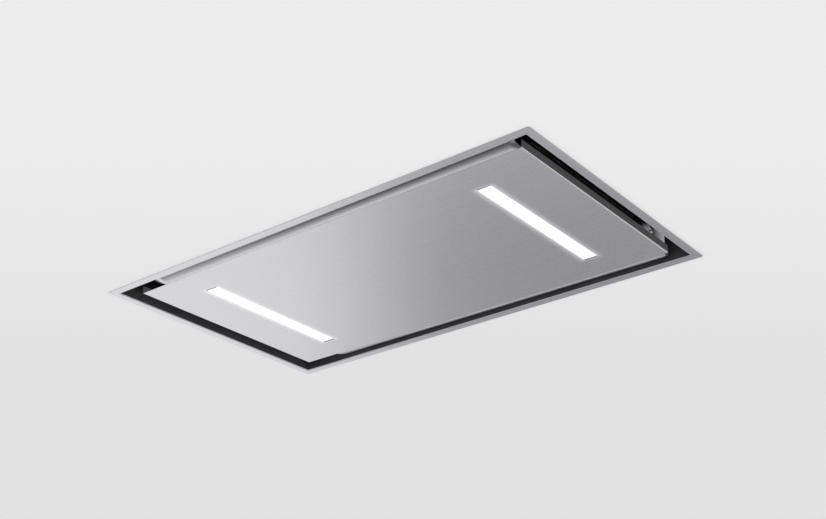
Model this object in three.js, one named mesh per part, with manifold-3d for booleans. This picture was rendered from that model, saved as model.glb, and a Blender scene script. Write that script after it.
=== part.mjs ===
// Ceiling range hood with perimeter suction, 90 x 50 cm, in millimetres, +Z up.
// The origin is the centre of the opening in the ceiling, in the plane of the ceiling's underside:
// the stainless trim lies just under that plane, and everything else hangs or stands in the opening
// and above it. +X runs along the hood's length, and the front, which has the panel's catches, is -Y.
import * as THREE from "three";
import { mergeVertices } from "three/addons/utils/BufferGeometryUtils.js";
import Module from "manifold-3d";

const wasm = await Module();
wasm.setup();

// ---------------------------------------------------------------- driving dimensions
// Trim ring that covers the edge of the ceiling cut-out
const TRIM_LENGTH = 900;
const TRIM_DEPTH = 500;
const TRIM_FACE = 17; // width seen from below
const TRIM_THICKNESS = 1.6; // of the hem, where the sheet is folded back on itself
const TRIM_HEM_CLEARANCE = 1.3; // hem to the chassis, which stands inside it
const TRIM_CORNER = 4;
const TRIM_UPSTAND = 16;

// Sheets and clearances
const STAINLESS_SHEET = 1;
const STEEL_SHEET = 1;
const LINER_SHEET = 0.8;
const PLATE = 2; // thicker brackets and arms
const SEAT = 0.3; // between pieces that touch
const BEND = 1.6; // outer radius of a fold
const BEAD_HEIGHT = 2.2;
const BEAD_WIDTH = 12;
const BEAD_FROM_END = 30; // the chassis' long beads, from its walls
const BEAD_FROM_SIDE = 16;
const BEAD_END_ROOM = 40; // a bead's end to the wall that it points at
const SCREW_HOLE = 2.2; // radius

// Heights above the ceiling plane
const RECESS_HEIGHT = 48;
const CHASSIS_HEIGHT = 92;
const SKIRT_LEDGE = 10;
const CHASSIS_LIP = 12;

// Suction panel
const GAP_ENDS = 25.5;
const GAP_SIDES = 25.5;
const PANEL_RECESS = 2.8; // how far the panel's face lies above the trim's face
const PANEL_WALL = 14;
const LIP_LEG = 15; // flat part of the lip behind the face
const LIP_SLOPE = 3; // degrees, where the lip leaves the panel's edge
const LIP_SWEEP = 14; // degrees of the wide arc that follows
const LIP_RADIUS = 65;
const LIP_END_RADIUS = 5;
const LIP_END = 4;
// Each lip's ends to the panel's corners, in pairs of left and right
const LIP_SETBACKS_FRONT = [44, 12];
const LIP_SETBACKS_REAR = [64, 20];
const TRAY_INSET_ENDS = 20;
const TRAY_INSET_SIDES = 16;
const TRAY_WALL = 10;
const TRAY_BEAD_PITCH = 96;

// Lamps in the panel
const LAMP_LENGTH = 290; // lit part
const LAMP_WIDTH = 23;
const LAMP_INSET = 111.5; // panel end to the lamp's centre line
const SLOT_END = 5; // dark surround past each end of the lit part
const SLOT_SIDE = 1.5;
const LENS_SET_BACK = 0.5;
const LENS_RIM = 3;
const LENS_DEPTH = 3.6;
const LAMP_BOX_MARGIN = 8;
const LAMP_BOX_HEIGHT = 16;
const LAMP_SHEET = 1.2;
const LED_PITCH = 14;
const LED_SIZE = 3.5;
const LED_BOARD_WIDTH = 14;
const BOARD = 1.6;

// Panel hinges, at the rear ends of the panel, and catches at the front
const HINGE_FROM_EDGE = 7;
const HINGE_HEIGHT = 12; // axis above the panel's face
const HINGE_INSET = 5.5; // panel end to the bracket's outer face
const HINGE_PIN_RADIUS = 2.5;
const HINGE_EYE = 8;
const HINGE_BRACKET_LENGTH = 50;
const HINGE_FOOT = 30;
const HINGE_ARM_LENGTH = 84;
const HINGE_ARM_FOOT = 11;
const HINGE_ARM_TIP = 4; // the arm's height at its far end
const HINGE_ARM_WAIST = 9; // and half way to the eye
const HINGE_HEAD = 1.5;
const CATCH_SPACING = 500;
const CATCH_FROM_EDGE = 29;
const CATCH_LENGTH = 40;
const CATCH_WIDTH = 16;
const CATCH_DROP = 18;
const CATCH_EAR = 10;
const POLE = 1.5;
const STRIKER_SHEET = 1.5;

// Grease filters
const FILTER_STRIP = 50; // deck between the two filters
const FILTER_MARGIN_ENDS = 48;
const FILTER_MARGIN_SIDES = 83;
const FILTER_PLAY = 1.5;
const FILTER_HEIGHT = 9;
const FILTER_DROP = 2; // below the deck's upper face
const FILTER_BAR = 12;
const FILTER_SHEET = 1.2;
const FILTER_WAVE = 14;
const FILTER_TONGUE_WIDTH = 40;
const DECK_RIM = 3;
const TONGUE = 1.5;
const TONGUE_REACH = 6;
const LATCH_TRAVEL = 7;
const LATCH_WIDTH = 80;
const LATCH_DEPTH = 24;
const LATCH_LEDGE = 3;
const LATCH_GRIP_HEIGHT = 4.8;

// Blower: forward-curved wheel on a vertical shaft in a spiral scroll
const IMPELLER_RADIUS = 90;
const IMPELLER_HEIGHT = 90;
const IMPELLER_BASE = 13; // above the chassis
const BLADE_COUNT = 36;
const BLADE_DEPTH = 16.5;
const BLADE_SHEET = 1;
const BLADE_SAG = 3.4;
const WHEEL_SHEET = 1.5;
const WHEEL_GAP = 2.5; // running gap round the inlet throat
const INLET_FLANGE = 16;
const INLET_FLARE = 24;
const INLET_RISE = 15.7;
const SCROLL_CLEARANCE = 7;
const SCROLL_GROWTH = 90;
const SCROLL_TONGUE = 35; // degrees
const SCROLL_EXIT = 96;
const SCROLL_HEIGHT = 138;
const SHAFT_RADIUS = 4;
const HUB_RADIUS = 11;
const HUB_HEIGHT = 20;
const MOTOR_RADIUS = 55;
const MOTOR_HEIGHT = 44;
const MOTOR_GAP = 2;
const MOTOR_FLANGE = 5;
const MOTOR_ARM = 26;
const MOTOR_ARM_WIDTH = 14;
const MOTOR_FINS = 12;
const MOTOR_FIN_GAP = 2.4;
const MOTOR_EDGE = 4;
const MOTOR_DOME = 14; // how far the can's end is drawn in
const CAPACITOR_RADIUS = 15;
const CAPACITOR_HEIGHT = 62;
const CAPACITOR_EDGE = 3;
const CAPACITOR_STUD = 8;

// Motor box and duct
const BOX_CLEARANCE = 4;
const LID_LIP = 12;
const DUCT_RADIUS = 75; // 150 mm duct slips over the collar
const COLLAR_WALL = 1.6;
const COLLAR_FLANGE = 80; // half of the square flange
const COLLAR_FLANGE_THICKNESS = 2;
const COLLAR_LENGTH = 46;
const COLLAR_TAPER = 5;
const COLLAR_CORNER = 8;
const COLLAR_SCREW_INSET = 9;
const TRANSITION_LENGTH = 70;
const FLAP_OFFSET = 14; // flap pin, from the collar's flange
const FLAP_SHEET = 1.2;
const FLAP_CLEARANCE = 1.5;
const FLAP_PIN_RADIUS = 2;
const FLAP_BARREL = 3.6;
const FLAP_KNUCKLE = 30;
const FLAP_STOP = 2.5;
const FLAP_OVERLAP = 4; // of the stop ring, inwards from the bore

// Electrics on top of the chassis
const CONTROL_LENGTH = 150;
const CONTROL_DEPTH = 110;
const CONTROL_HEIGHT = 36;
const CONTROL_WALL = 2.2;
const CONTROL_OFFSET = 34; // from the motor box
const CONTROL_BOSS = 4.5;
const CONTROL_CORNER = 4;
const CONTROL_LID_SKIRT = 4;
const BOARD_MARGIN = 10; // the board's edge to what stands on it
const RELAY_LENGTH = 18;
const RELAY_WIDTH = 16;
const RELAY_HEIGHT = 16;
const RELAY_PITCH = 24;
const TRANSFORMER_SIDE = 36;
const TRANSFORMER_HEIGHT = 19;
const TERMINAL_DEPTH = 14;
const TERMINAL_HEIGHT = 13;
const TERMINAL_WAYS = 3;
const TERMINAL_PITCH = 9;
const WIRE_MOUTH = 6;
const GLAND_RADIUS = 10;
const GLAND_BORE = 4.5;
const GLAND_LENGTH = 22;
const GLAND_STUB = 4; // inside the box
const DRIVER_LENGTH = 120;
const DRIVER_DEPTH = 46;
const DRIVER_HEIGHT = 28;
const DRIVER_EAR = 12;
const DRIVER_CORNER = 5;
const DRIVER_GROOVES = 5;
const DRIVER_GROOVE_PITCH = 16;
const DRIVER_GROOVE_WIDTH = 3;

// Hanger brackets
const HANGER_INSET_ENDS = 70;
const HANGER_INSET_SIDES = 6;
const HANGER_WIDTH = 40;
const HANGER_FOOT = 24;
const HANGER_RISE = 34;
const HANGER_EAR = 34;
const HANGER_SLOT_RADIUS = 4.5;
const HANGER_SLOT_LENGTH = 18;

// ---------------------------------------------------------------- sizes worked out from them
const openX = TRIM_LENGTH / 2 - TRIM_FACE;
const openY = TRIM_DEPTH / 2 - TRIM_FACE;
const linerX = openX + SEAT + LINER_SHEET;
const linerY = openY + SEAT + LINER_SHEET;
const upstandX = linerX + SEAT + STAINLESS_SHEET;
const upstandY = linerY + SEAT + STAINLESS_SHEET;
const chassisX = upstandX + SEAT + STEEL_SHEET;
const chassisY = upstandY + SEAT + STEEL_SHEET;
const hemX = chassisX + TRIM_HEM_CLEARANCE;
const hemY = chassisY + TRIM_HEM_CLEARANCE;
const deckUnder = RECESS_HEIGHT + SEAT;
const deckTop = deckUnder + LINER_SHEET;

const panelX = openX - GAP_ENDS;
const panelY = openY - GAP_SIDES;
const panelZ = PANEL_RECESS - TRIM_THICKNESS; // the panel's face
const panelBack = STAINLESS_SHEET + SEAT; // where pieces sit on the back of the face, from panelZ
const trayX = panelX - TRAY_INSET_ENDS;
const trayY = panelY - TRAY_INSET_SIDES;
const lampX = panelX - LAMP_INSET;
const slotLength = LAMP_LENGTH + 2 * SLOT_END;
const slotWidth = LAMP_WIDTH + 2 * SLOT_SIDE;
const lampBoxLength = slotLength + 2 * LAMP_BOX_MARGIN;
const lampBoxWidth = slotWidth + 2 * LAMP_BOX_MARGIN;
const hingeY = panelY - HINGE_FROM_EDGE;
const hingeZ = panelZ + HINGE_HEIGHT;
const bracketX = panelX - HINGE_INSET; // outer face of the hinge bracket
const armX = bracketX - PLATE - SEAT; // outer face of the hinge arm
const catchY = -(panelY - CATCH_FROM_EDGE);

const filterX = (openX - FILTER_MARGIN_ENDS + FILTER_STRIP / 2) / 2;
const filterHoleX = (openX - FILTER_MARGIN_ENDS - FILTER_STRIP / 2) / 2;
const filterHoleY = openY - FILTER_MARGIN_SIDES;
const filterHalfX = filterHoleX - FILTER_PLAY;
const filterHalfY = filterHoleY - FILTER_PLAY;
const tongueZ = DECK_RIM + SEAT; // above the deck

const wheelInner = IMPELLER_RADIUS - BLADE_DEPTH;
const throat = wheelInner - WHEEL_GAP - STEEL_SHEET;
const inletMouth = throat + INLET_FLARE;
const tongueRadius = IMPELLER_RADIUS + SCROLL_CLEARANCE;
const scrollFloor = 2 * SEAT + STEEL_SHEET; // above the chassis: the inlet ring's flange is between
const coverZ = scrollFloor + SCROLL_HEIGHT + SEAT;
const exitOuter = tongueRadius + SCROLL_GROWTH;
const exitInner = tongueRadius * Math.cos(THREE.MathUtils.degToRad(SCROLL_TONGUE));
const wheelTop = IMPELLER_BASE + IMPELLER_HEIGHT;
const cageTop = wheelTop - WHEEL_SHEET - SEAT;
const hubTop = wheelTop - HUB_HEIGHT / 2 + HUB_HEIGHT;
const motorBase = hubTop + MOTOR_GAP;
const spiralRadius = (degrees) =>
  tongueRadius + (SCROLL_GROWTH * (degrees - SCROLL_TONGUE)) / (360 - SCROLL_TONGUE);
const boxLow = {
  x: -(spiralRadius(180) + STEEL_SHEET + BOX_CLEARANCE),
  y: -(spiralRadius(270) + STEEL_SHEET + BOX_CLEARANCE),
};
const boxHigh = {
  x: exitOuter + STEEL_SHEET + BOX_CLEARANCE,
  y: SCROLL_EXIT + TRANSITION_LENGTH + 2 * SEAT + STEEL_SHEET,
};
const blowerX = -(boxLow.x + boxHigh.x) / 2; // the motor box is centred on the hood
const collarX = boxHigh.x - COLLAR_FLANGE - BOX_CLEARANCE;
const collarZ = COLLAR_FLANGE + BOX_CLEARANCE / 2;
const boxHeight = Math.max(motorBase + MOTOR_HEIGHT, collarZ + COLLAR_FLANGE) + BOX_CLEARANCE;
const boxHalfX = (boxHigh.x - boxLow.x) / 2;
const collarBore = DUCT_RADIUS - COLLAR_WALL;

// ---------------------------------------------------------------- materials
function finish(color, roughness, metalness) {
  return new THREE.MeshStandardMaterial({ color, roughness, metalness });
}
const stainless = finish(0xbfc0c3, 0.32, 1);
const galvanised = finish(0xa9adb0, 0.5, 0.9);
const blackPaint = finish(0x1d1d1f, 0.55, 0);
const aluminium = finish(0xc3c5c7, 0.4, 1);
const zincPlate = finish(0xb5b4ad, 0.4, 0.9);
const darkPlastic = finish(0x2b2c2e, 0.5, 0);
const greyPlastic = finish(0x8d9093, 0.5, 0);
const opal = finish(0xfafafa, 0.35, 0);
const boardGreen = finish(0x1f5a3a, 0.5, 0);
const motorPaint = finish(0x3a3d42, 0.5, 0.3);
const whiteCan = finish(0xd8d8d4, 0.4, 0.2);

// ---------------------------------------------------------------- shape tools
const at = (x, y) => new THREE.Vector2(x, y);
const radians = THREE.MathUtils.degToRad;

// A closed mesh as a solid that can be joined and cut.
function solid(geometry) {
  const bare = geometry.clone();
  bare.deleteAttribute("normal");
  bare.deleteAttribute("uv");
  const merged = mergeVertices(bare, 1e-4);
  const made = new wasm.Manifold(
    new wasm.Mesh({
      numProp: 3,
      vertProperties: merged.attributes.position.array,
      triVerts: new Uint32Array(merged.index.array),
    }),
  );
  return made;
}

const join = (...bodies) => bodies.reduce((whole, body) => whole.add(body));
const cut = (body, ...tools) => tools.reduce((rest, tool) => rest.subtract(tool), body);

function block(x0, x1, y0, y1, z0, z1) {
  const box = new THREE.BoxGeometry(x1 - x0, y1 - y0, z1 - z0);
  return solid(box.translate((x0 + x1) / 2, (y0 + y1) / 2, (z0 + z1) / 2));
}

// A block centred on the Z axis.
const slab = (halfX, halfY, z0, z1) => block(-halfX, halfX, -halfY, halfY, z0, z1);

function cylinder(radius, z0, z1, segments = 24) {
  const round = new THREE.CylinderGeometry(radius, radius, z1 - z0, segments);
  return solid(round.rotateX(Math.PI / 2).translate(0, 0, (z0 + z1) / 2));
}

// An outline pushed up from z0 to z1.
function rise(shape, z0, z1, curveSegments = 4) {
  const made = new THREE.ExtrudeGeometry(shape, { depth: z1 - z0, bevelEnabled: false, curveSegments });
  return solid(made.translate(0, 0, z0));
}

// An outline drawn in Y and Z, pushed along X from x0 to x1.
function alongX(shape, x0, x1, curveSegments = 6) {
  const made = new THREE.ExtrudeGeometry(shape, { depth: x1 - x0, bevelEnabled: false, curveSegments });
  const turned = new THREE.Matrix4().makeBasis(
    new THREE.Vector3(0, 1, 0),
    new THREE.Vector3(0, 0, 1),
    new THREE.Vector3(1, 0, 0),
  );
  return solid(made.applyMatrix4(turned).translate(x0, 0, 0));
}

// An outline drawn in X and Z, pushed along Y, centred on y = 0.
function acrossY(shape, length) {
  const made = new THREE.ExtrudeGeometry(shape, { depth: length, bevelEnabled: false });
  return solid(made.rotateX(Math.PI / 2).translate(0, length / 2, 0));
}

// A closed profile of [radius, height] turned round the Z axis.
function revolve(profile, segments = 32) {
  const loop = [...profile, profile[0]];
  if (THREE.ShapeUtils.area(profile) < 0) loop.reverse();
  return solid(new THREE.LatheGeometry(loop, segments).rotateX(Math.PI / 2));
}

function rectangle(halfX, halfY, Outline = THREE.Shape) {
  return new Outline([at(-halfX, -halfY), at(halfX, -halfY), at(halfX, halfY), at(-halfX, halfY)]);
}

function roundedRectangle(halfX, halfY, radius) {
  const shape = new THREE.Shape();
  shape.absarc(halfX - radius, halfY - radius, radius, 0, Math.PI / 2);
  shape.absarc(radius - halfX, halfY - radius, radius, Math.PI / 2, Math.PI);
  shape.absarc(radius - halfX, radius - halfY, radius, Math.PI, Math.PI * 1.5);
  shape.absarc(halfX - radius, radius - halfY, radius, Math.PI * 1.5, Math.PI * 2);
  return shape;
}

// A ring of sheet between two rectangles.
function rectangularRing(outerX, outerY, innerX, innerY, z0, z1) {
  const shape = rectangle(outerX, outerY);
  shape.holes.push(rectangle(innerX, innerY, THREE.Path));
  return rise(shape, z0, z1);
}

// The points of an arc, angles in degrees.
function arc(centre, radius, from, to, steps) {
  return Array.from({ length: steps + 1 }, (_, i) => {
    const angle = radians(from + ((to - from) * i) / steps);
    return at(centre.x + radius * Math.cos(angle), centre.y + radius * Math.sin(angle));
  });
}

// Rounds the corners of a folded line to the bend radius.
function fold(points, radius = BEND, steps = 3) {
  const line = [points[0]];
  for (let i = 1; i < points.length - 1; i++) {
    const back = points[i - 1].clone().sub(points[i]).normalize();
    const ahead = points[i + 1].clone().sub(points[i]).normalize();
    const half = Math.acos(back.dot(ahead)) / 2;
    const middle = back.clone().add(ahead).normalize();
    const centre = points[i].clone().addScaledVector(middle, radius / Math.sin(half));
    const start = points[i].clone().addScaledVector(back, radius / Math.tan(half)).sub(centre);
    const end = points[i].clone().addScaledVector(ahead, radius / Math.tan(half)).sub(centre);
    const turn = Math.atan2(start.cross(end), start.dot(end));
    for (let k = 0; k <= steps; k++) {
      line.push(start.clone().rotateAround(at(0, 0), (turn * k) / steps).add(centre));
    }
  }
  line.push(points.at(-1));
  return line;
}

// The section of a sheet whose outer face is the line, with its thickness on the line's left.
function sheetPoints(line, thickness) {
  const inner = line.map((point, i) => {
    const back = i ? point.clone().sub(line[i - 1]).normalize() : null;
    const ahead = i < line.length - 1 ? line[i + 1].clone().sub(point).normalize() : null;
    const a = (back ?? ahead).clone();
    const b = (ahead ?? back).clone();
    const normal = at(-a.y - b.y, a.x + b.x).divideScalar(1 + a.dot(b));
    return point.clone().addScaledVector(normal, thickness);
  });
  return [...line, ...inner.reverse()];
}

const sheetShape = (line, thickness) => new THREE.Shape(sheetPoints(line, thickness));

// An outline with round ends, length along X, or along Y when turned.
function stadium(length, width, turned = false) {
  const reach = (length - width) / 2;
  const half = width / 2;
  const first = turned ? arc(at(0, -reach), half, 180, 360, 6) : arc(at(reach, 0), half, -90, 90, 6);
  const last = turned ? arc(at(0, reach), half, 0, 180, 6) : arc(at(-reach, 0), half, 90, 270, 6);
  return new THREE.Shape([...first, ...last]);
}

// Presses a stiffening bead upwards in a flat sheet whose upper face is at z.
function pressBead(body, x, y, length, turned, z, sheet) {
  const bump = rise(stadium(length, BEAD_WIDTH, turned), z - sheet / 2, z + BEAD_HEIGHT);
  const hollow = rise(
    stadium(length - 2 * sheet, BEAD_WIDTH - 2 * sheet, turned),
    z - 2 * sheet,
    z + BEAD_HEIGHT - sheet,
  );
  return body.add(bump.translate([x, y, 0])).subtract(hollow.translate([x, y, 0]));
}

// A named mesh of a solid, added to its group.
function piece(group, name, body, material) {
  const { vertProperties, triVerts, numProp } = body.getMesh();
  const geometry = new THREE.BufferGeometry();
  if (numProp !== 3) throw new Error(name + " carries more than positions");
  geometry.setAttribute("position", new THREE.BufferAttribute(vertProperties, numProp));
  geometry.setIndex(new THREE.BufferAttribute(triVerts, 1));
  geometry.computeVertexNormals();
  const mesh = new THREE.Mesh(geometry, material);
  mesh.name = name;
  group.add(mesh);
  return mesh;
}

function groupAt(parent, x, y, z) {
  const group = new THREE.Group();
  group.position.set(x, y, z);
  parent.add(group);
  return group;
}

const sides = [
  ["left", -1],
  ["right", 1],
];
const fourCorners = [-1, 1].flatMap((x) => [-1, 1].map((y) => [x, y]));

const hood = new THREE.Group();

// ---------------------------------------------------------------- trim, recess and chassis
// Flat stainless ring under the ceiling, hemmed double where it meets the ceiling, with an upstand
// that goes up inside the cut-out.
function trimFrame() {
  const ring = roundedRectangle(TRIM_LENGTH / 2, TRIM_DEPTH / 2, TRIM_CORNER);
  ring.holes.push(rectangle(openX, openY, THREE.Path));
  const single = rectangularRing(hemX, hemY, openX - 1, openY - 1, -TRIM_THICKNESS / 2, 1);
  const upstand = rectangularRing(
    upstandX,
    upstandY,
    upstandX - STAINLESS_SHEET,
    upstandY - STAINLESS_SHEET,
    -TRIM_THICKNESS * 0.75,
    TRIM_UPSTAND,
  );
  return join(cut(rise(ring, -TRIM_THICKNESS, 0), single), upstand);
}

// Black wall round the recess, with a ledge at its top that carries the filter deck.
function recessSkirt() {
  const wall = rectangularRing(linerX, linerY, linerX - LINER_SHEET, linerY - LINER_SHEET, SEAT, RECESS_HEIGHT);
  const ledge = rectangularRing(
    linerX,
    linerY,
    linerX - SKIRT_LEDGE,
    linerY - SKIRT_LEDGE,
    RECESS_HEIGHT - LINER_SHEET,
    RECESS_HEIGHT,
  );
  return join(wall, ledge);
}

// Black deck over the recess: two filter openings with turned-up rims.
function filterDeck() {
  let deck = slab(linerX, linerY, deckUnder, deckTop);
  for (const [, side] of sides) {
    const rim = slab(filterHoleX + LINER_SHEET, filterHoleY + LINER_SHEET, deckUnder, deckTop + DECK_RIM);
    const hole = slab(filterHoleX, filterHoleY, deckUnder - 1, deckTop + DECK_RIM + 1);
    deck = deck.add(rim.translate([side * filterX, 0, 0])).subtract(hole.translate([side * filterX, 0, 0]));
  }
  return deck;
}

// Folded sheet: the top and both long sides, with the blower's inlet hole and pressed beads.
function chassisShell() {
  const section = fold([
    at(chassisY, SEAT),
    at(chassisY, CHASSIS_HEIGHT),
    at(-chassisY, CHASSIS_HEIGHT),
    at(-chassisY, SEAT),
  ]);
  let shell = alongX(sheetShape(section, STEEL_SHEET), -chassisX, chassisX);
  const inlet = cylinder(inletMouth + SEAT, CHASSIS_HEIGHT - 2, CHASSIS_HEIGHT + 1, 48);
  shell = shell.subtract(inlet.translate([blowerX, 0, 0]));
  const beadX = chassisX - BEAD_FROM_END;
  const beadY = chassisY - BEAD_FROM_SIDE;
  const between = 2 * (chassisX - HANGER_INSET_ENDS - HANGER_WIDTH);
  for (const side of [-1, 1]) {
    shell = pressBead(shell, side * beadX, 0, 2 * (chassisY - BEAD_END_ROOM), true, CHASSIS_HEIGHT, STEEL_SHEET);
    shell = pressBead(shell, 0, side * beadY, between, false, CHASSIS_HEIGHT, STEEL_SHEET);
  }
  return shell;
}

// End plate with lips turned in along its top and sides, notched at the foot for the trim's upstand.
function chassisEnd() {
  const high = CHASSIS_HEIGHT - STEEL_SHEET - SEAT;
  const wide = chassisY - STEEL_SHEET - SEAT;
  const pan = block(chassisX - CHASSIS_LIP, chassisX, -wide, wide, SEAT, high);
  const inside = block(
    chassisX - CHASSIS_LIP - 1,
    chassisX - STEEL_SHEET,
    STEEL_SHEET - wide,
    wide - STEEL_SHEET,
    SEAT - 1,
    high - STEEL_SHEET,
  );
  const room = upstandX + SEAT;
  const notchTop = TRIM_UPSTAND + SEAT;
  const notch = block(chassisX - CHASSIS_LIP - 1, room, -wide - 1, wide + 1, SEAT - 1, notchTop);
  return cut(pan, inside, notch);
}

// Z-shaped bracket with a slotted ear for the threaded rod that it hangs on.
function hanger() {
  const section = fold([
    at(0, SEAT),
    at(-HANGER_FOOT, SEAT),
    at(-HANGER_FOOT, HANGER_RISE),
    at(-HANGER_FOOT - HANGER_EAR, HANGER_RISE),
  ], BEND + PLATE);
  const plain = alongX(sheetShape(section.reverse(), PLATE), -HANGER_WIDTH / 2, HANGER_WIDTH / 2);
  const slot = rise(
    stadium(HANGER_SLOT_LENGTH, 2 * HANGER_SLOT_RADIUS),
    HANGER_RISE - 2 * PLATE,
    HANGER_RISE + 2 * PLATE,
  );
  return plain.subtract(slot.translate([0, -HANGER_FOOT - HANGER_EAR * 0.55, 0]));
}

piece(hood, "trim_frame", trimFrame(), stainless);
piece(hood, "recess_skirt", recessSkirt(), blackPaint);
piece(hood, "filter_deck", filterDeck(), blackPaint);
piece(hood, "chassis_shell", chassisShell(), galvanised);
for (const [name, side] of sides) {
  const end = piece(hood, "chassis_end_" + name, chassisEnd(), galvanised);
  end.rotation.z = side > 0 ? 0 : Math.PI;
  for (const [depthName, depth] of [["front", -1], ["rear", 1]]) {
    const corner = groupAt(
      hood,
      side * (chassisX - HANGER_INSET_ENDS),
      depth * (chassisY - HANGER_INSET_SIDES),
      CHASSIS_HEIGHT,
    );
    const bracket = piece(corner, "hanger_" + depthName + "_" + name, hanger(), galvanised);
    bracket.rotation.z = depth > 0 ? 0 : Math.PI;
  }
}

// ---------------------------------------------------------------- grease filters
// Channel frame with a pocket for the latch at the front and two tongues at the rear.
function filterFrame() {
  const low = -FILTER_DROP;
  const high = low + FILTER_HEIGHT;
  const barInner = { x: filterHalfX - FILTER_BAR, y: filterHalfY - FILTER_BAR };
  const ring = rectangularRing(filterHalfX, filterHalfY, barInner.x, barInner.y, low, high);
  const groove = rectangularRing(
    filterHalfX - FILTER_SHEET,
    filterHalfY - FILTER_SHEET,
    barInner.x - 1,
    barInner.y - 1,
    low + FILTER_SHEET,
    high - FILTER_SHEET,
  );
  const pocket = latchPocket();
  const front = -filterHalfY + FILTER_SHEET;
  const outside = block(
    -pocket.halfX - FILTER_SHEET,
    pocket.halfX + FILTER_SHEET,
    front - FILTER_SHEET / 2,
    pocket.rear + FILTER_SHEET,
    low + FILTER_SHEET / 2,
    high,
  );
  const inside = block(-pocket.halfX, pocket.halfX, front, pocket.rear, low - 1, high - FILTER_SHEET);
  let frame = join(cut(ring, groove), outside);
  frame = frame.subtract(inside);
  for (const side of [-1, 1]) {
    const edge = side * pocket.halfX;
    const ledge = block(
      Math.min(edge + side, edge - side * LATCH_LEDGE),
      Math.max(edge + side, edge - side * LATCH_LEDGE),
      -barInner.y,
      pocket.rear + FILTER_SHEET / 2,
      tongueZ - SEAT - TONGUE,
      tongueZ - SEAT,
    );
    const tongue = block(
      -FILTER_TONGUE_WIDTH / 2,
      FILTER_TONGUE_WIDTH / 2,
      filterHalfY - FILTER_SHEET / 2,
      filterHalfY + TONGUE_REACH,
      tongueZ,
      tongueZ + TONGUE,
    );
    frame = frame.add(ledge).add(tongue.translate([(side * filterHalfX) / 2, 0, 0]));
  }
  const slot = block(
    -FILTER_TONGUE_WIDTH / 2 - SEAT,
    FILTER_TONGUE_WIDTH / 2 + SEAT,
    -filterHalfY - 1,
    front + 1,
    tongueZ - SEAT,
    tongueZ + TONGUE + SEAT,
  );
  return frame.subtract(slot);
}

// Where the latch slides: half its width and its rear wall, from the filter's own middle.
function latchPocket() {
  const start = -filterHalfY + FILTER_BAR + 1;
  return { halfX: LATCH_WIDTH / 2, start, rear: start + LATCH_DEPTH + LATCH_TRAVEL + 2 };
}

// Corrugated mesh pack that lies in the frame's groove, cut out round the latch pocket.
function filterMesh() {
  const grip = FILTER_BAR - FILTER_SHEET - 1.5;
  const halfX = filterHalfX - FILTER_BAR + grip;
  const halfY = filterHalfY - FILTER_BAR + grip;
  const middle = FILTER_HEIGHT / 2 - FILTER_DROP;
  const swing = (FILTER_HEIGHT - 3 * FILTER_SHEET) / 2 - SEAT;
  const steps = 2 * Math.round((2 * halfX) / FILTER_WAVE);
  const line = Array.from({ length: steps + 1 }, (_, i) =>
    at(-halfX + (2 * halfX * i) / steps, middle - FILTER_SHEET / 2 + (i % 2 ? swing : -swing)),
  );
  const above = line.map((point) => at(point.x, point.y + FILTER_SHEET)).reverse();
  const sheet = acrossY(new THREE.Shape([...line, ...above]), 2 * halfY);
  const pocket = latchPocket();
  const clear = pocket.halfX + FILTER_SHEET + SEAT;
  return sheet.subtract(
    block(-clear, clear, -filterHalfY, pocket.rear + FILTER_SHEET + SEAT, -FILTER_HEIGHT, FILTER_HEIGHT),
  );
}

// Sliding latch: a plate on the pocket's ledges, a tongue over the deck's rim, a finger grip.
function filterLatch() {
  const pocket = latchPocket();
  const reach = pocket.halfX - SEAT;
  const plate = block(-reach, reach, pocket.start, pocket.start + LATCH_DEPTH, tongueZ, tongueZ + TONGUE);
  const tongue = block(
    -FILTER_TONGUE_WIDTH / 2,
    FILTER_TONGUE_WIDTH / 2,
    -filterHalfY - TONGUE_REACH,
    pocket.start + 1,
    tongueZ,
    tongueZ + TONGUE,
  );
  const gripHalf = reach - LATCH_LEDGE - SEAT;
  const grip = block(
    -gripHalf,
    gripHalf,
    pocket.start,
    pocket.start + LATCH_DEPTH,
    tongueZ - LATCH_GRIP_HEIGHT,
    tongueZ + TONGUE / 2,
  );
  const scoopRadius = LATCH_DEPTH * 0.42;
  const scoop = new THREE.CylinderGeometry(scoopRadius, scoopRadius, 2 * gripHalf - 8, 24).rotateZ(Math.PI / 2);
  scoop.translate(0, pocket.start + LATCH_DEPTH / 2, tongueZ - LATCH_GRIP_HEIGHT - scoopRadius * 0.6);
  return join(plate, tongue, grip).subtract(solid(scoop));
}

for (const [name, side] of sides) {
  const filter = groupAt(hood, side * filterX, 0, deckTop);
  piece(filter, "filter_frame_" + name, filterFrame(), aluminium);
  piece(filter, "filter_mesh_" + name, filterMesh(), aluminium);
  piece(filter, "filter_latch_" + name, filterLatch(), greyPlastic);
}

// ---------------------------------------------------------------- suction panel
const panel = groupAt(hood, 0, 0, panelZ);

// Flat stainless face with its short sides turned up and the two lamp slots.
function panelFace() {
  const section = fold([
    at(-panelX, PANEL_WALL),
    at(-panelX, 0),
    at(panelX, 0),
    at(panelX, PANEL_WALL),
  ]);
  let face = acrossY(sheetShape(section, STAINLESS_SHEET), 2 * panelY);
  for (const [, side] of sides) {
    const slot = slab(slotWidth / 2, slotLength / 2, -1, 2 * STAINLESS_SHEET);
    face = face.subtract(slot.translate([side * lampX, 0, 0]));
  }
  return face;
}

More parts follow.
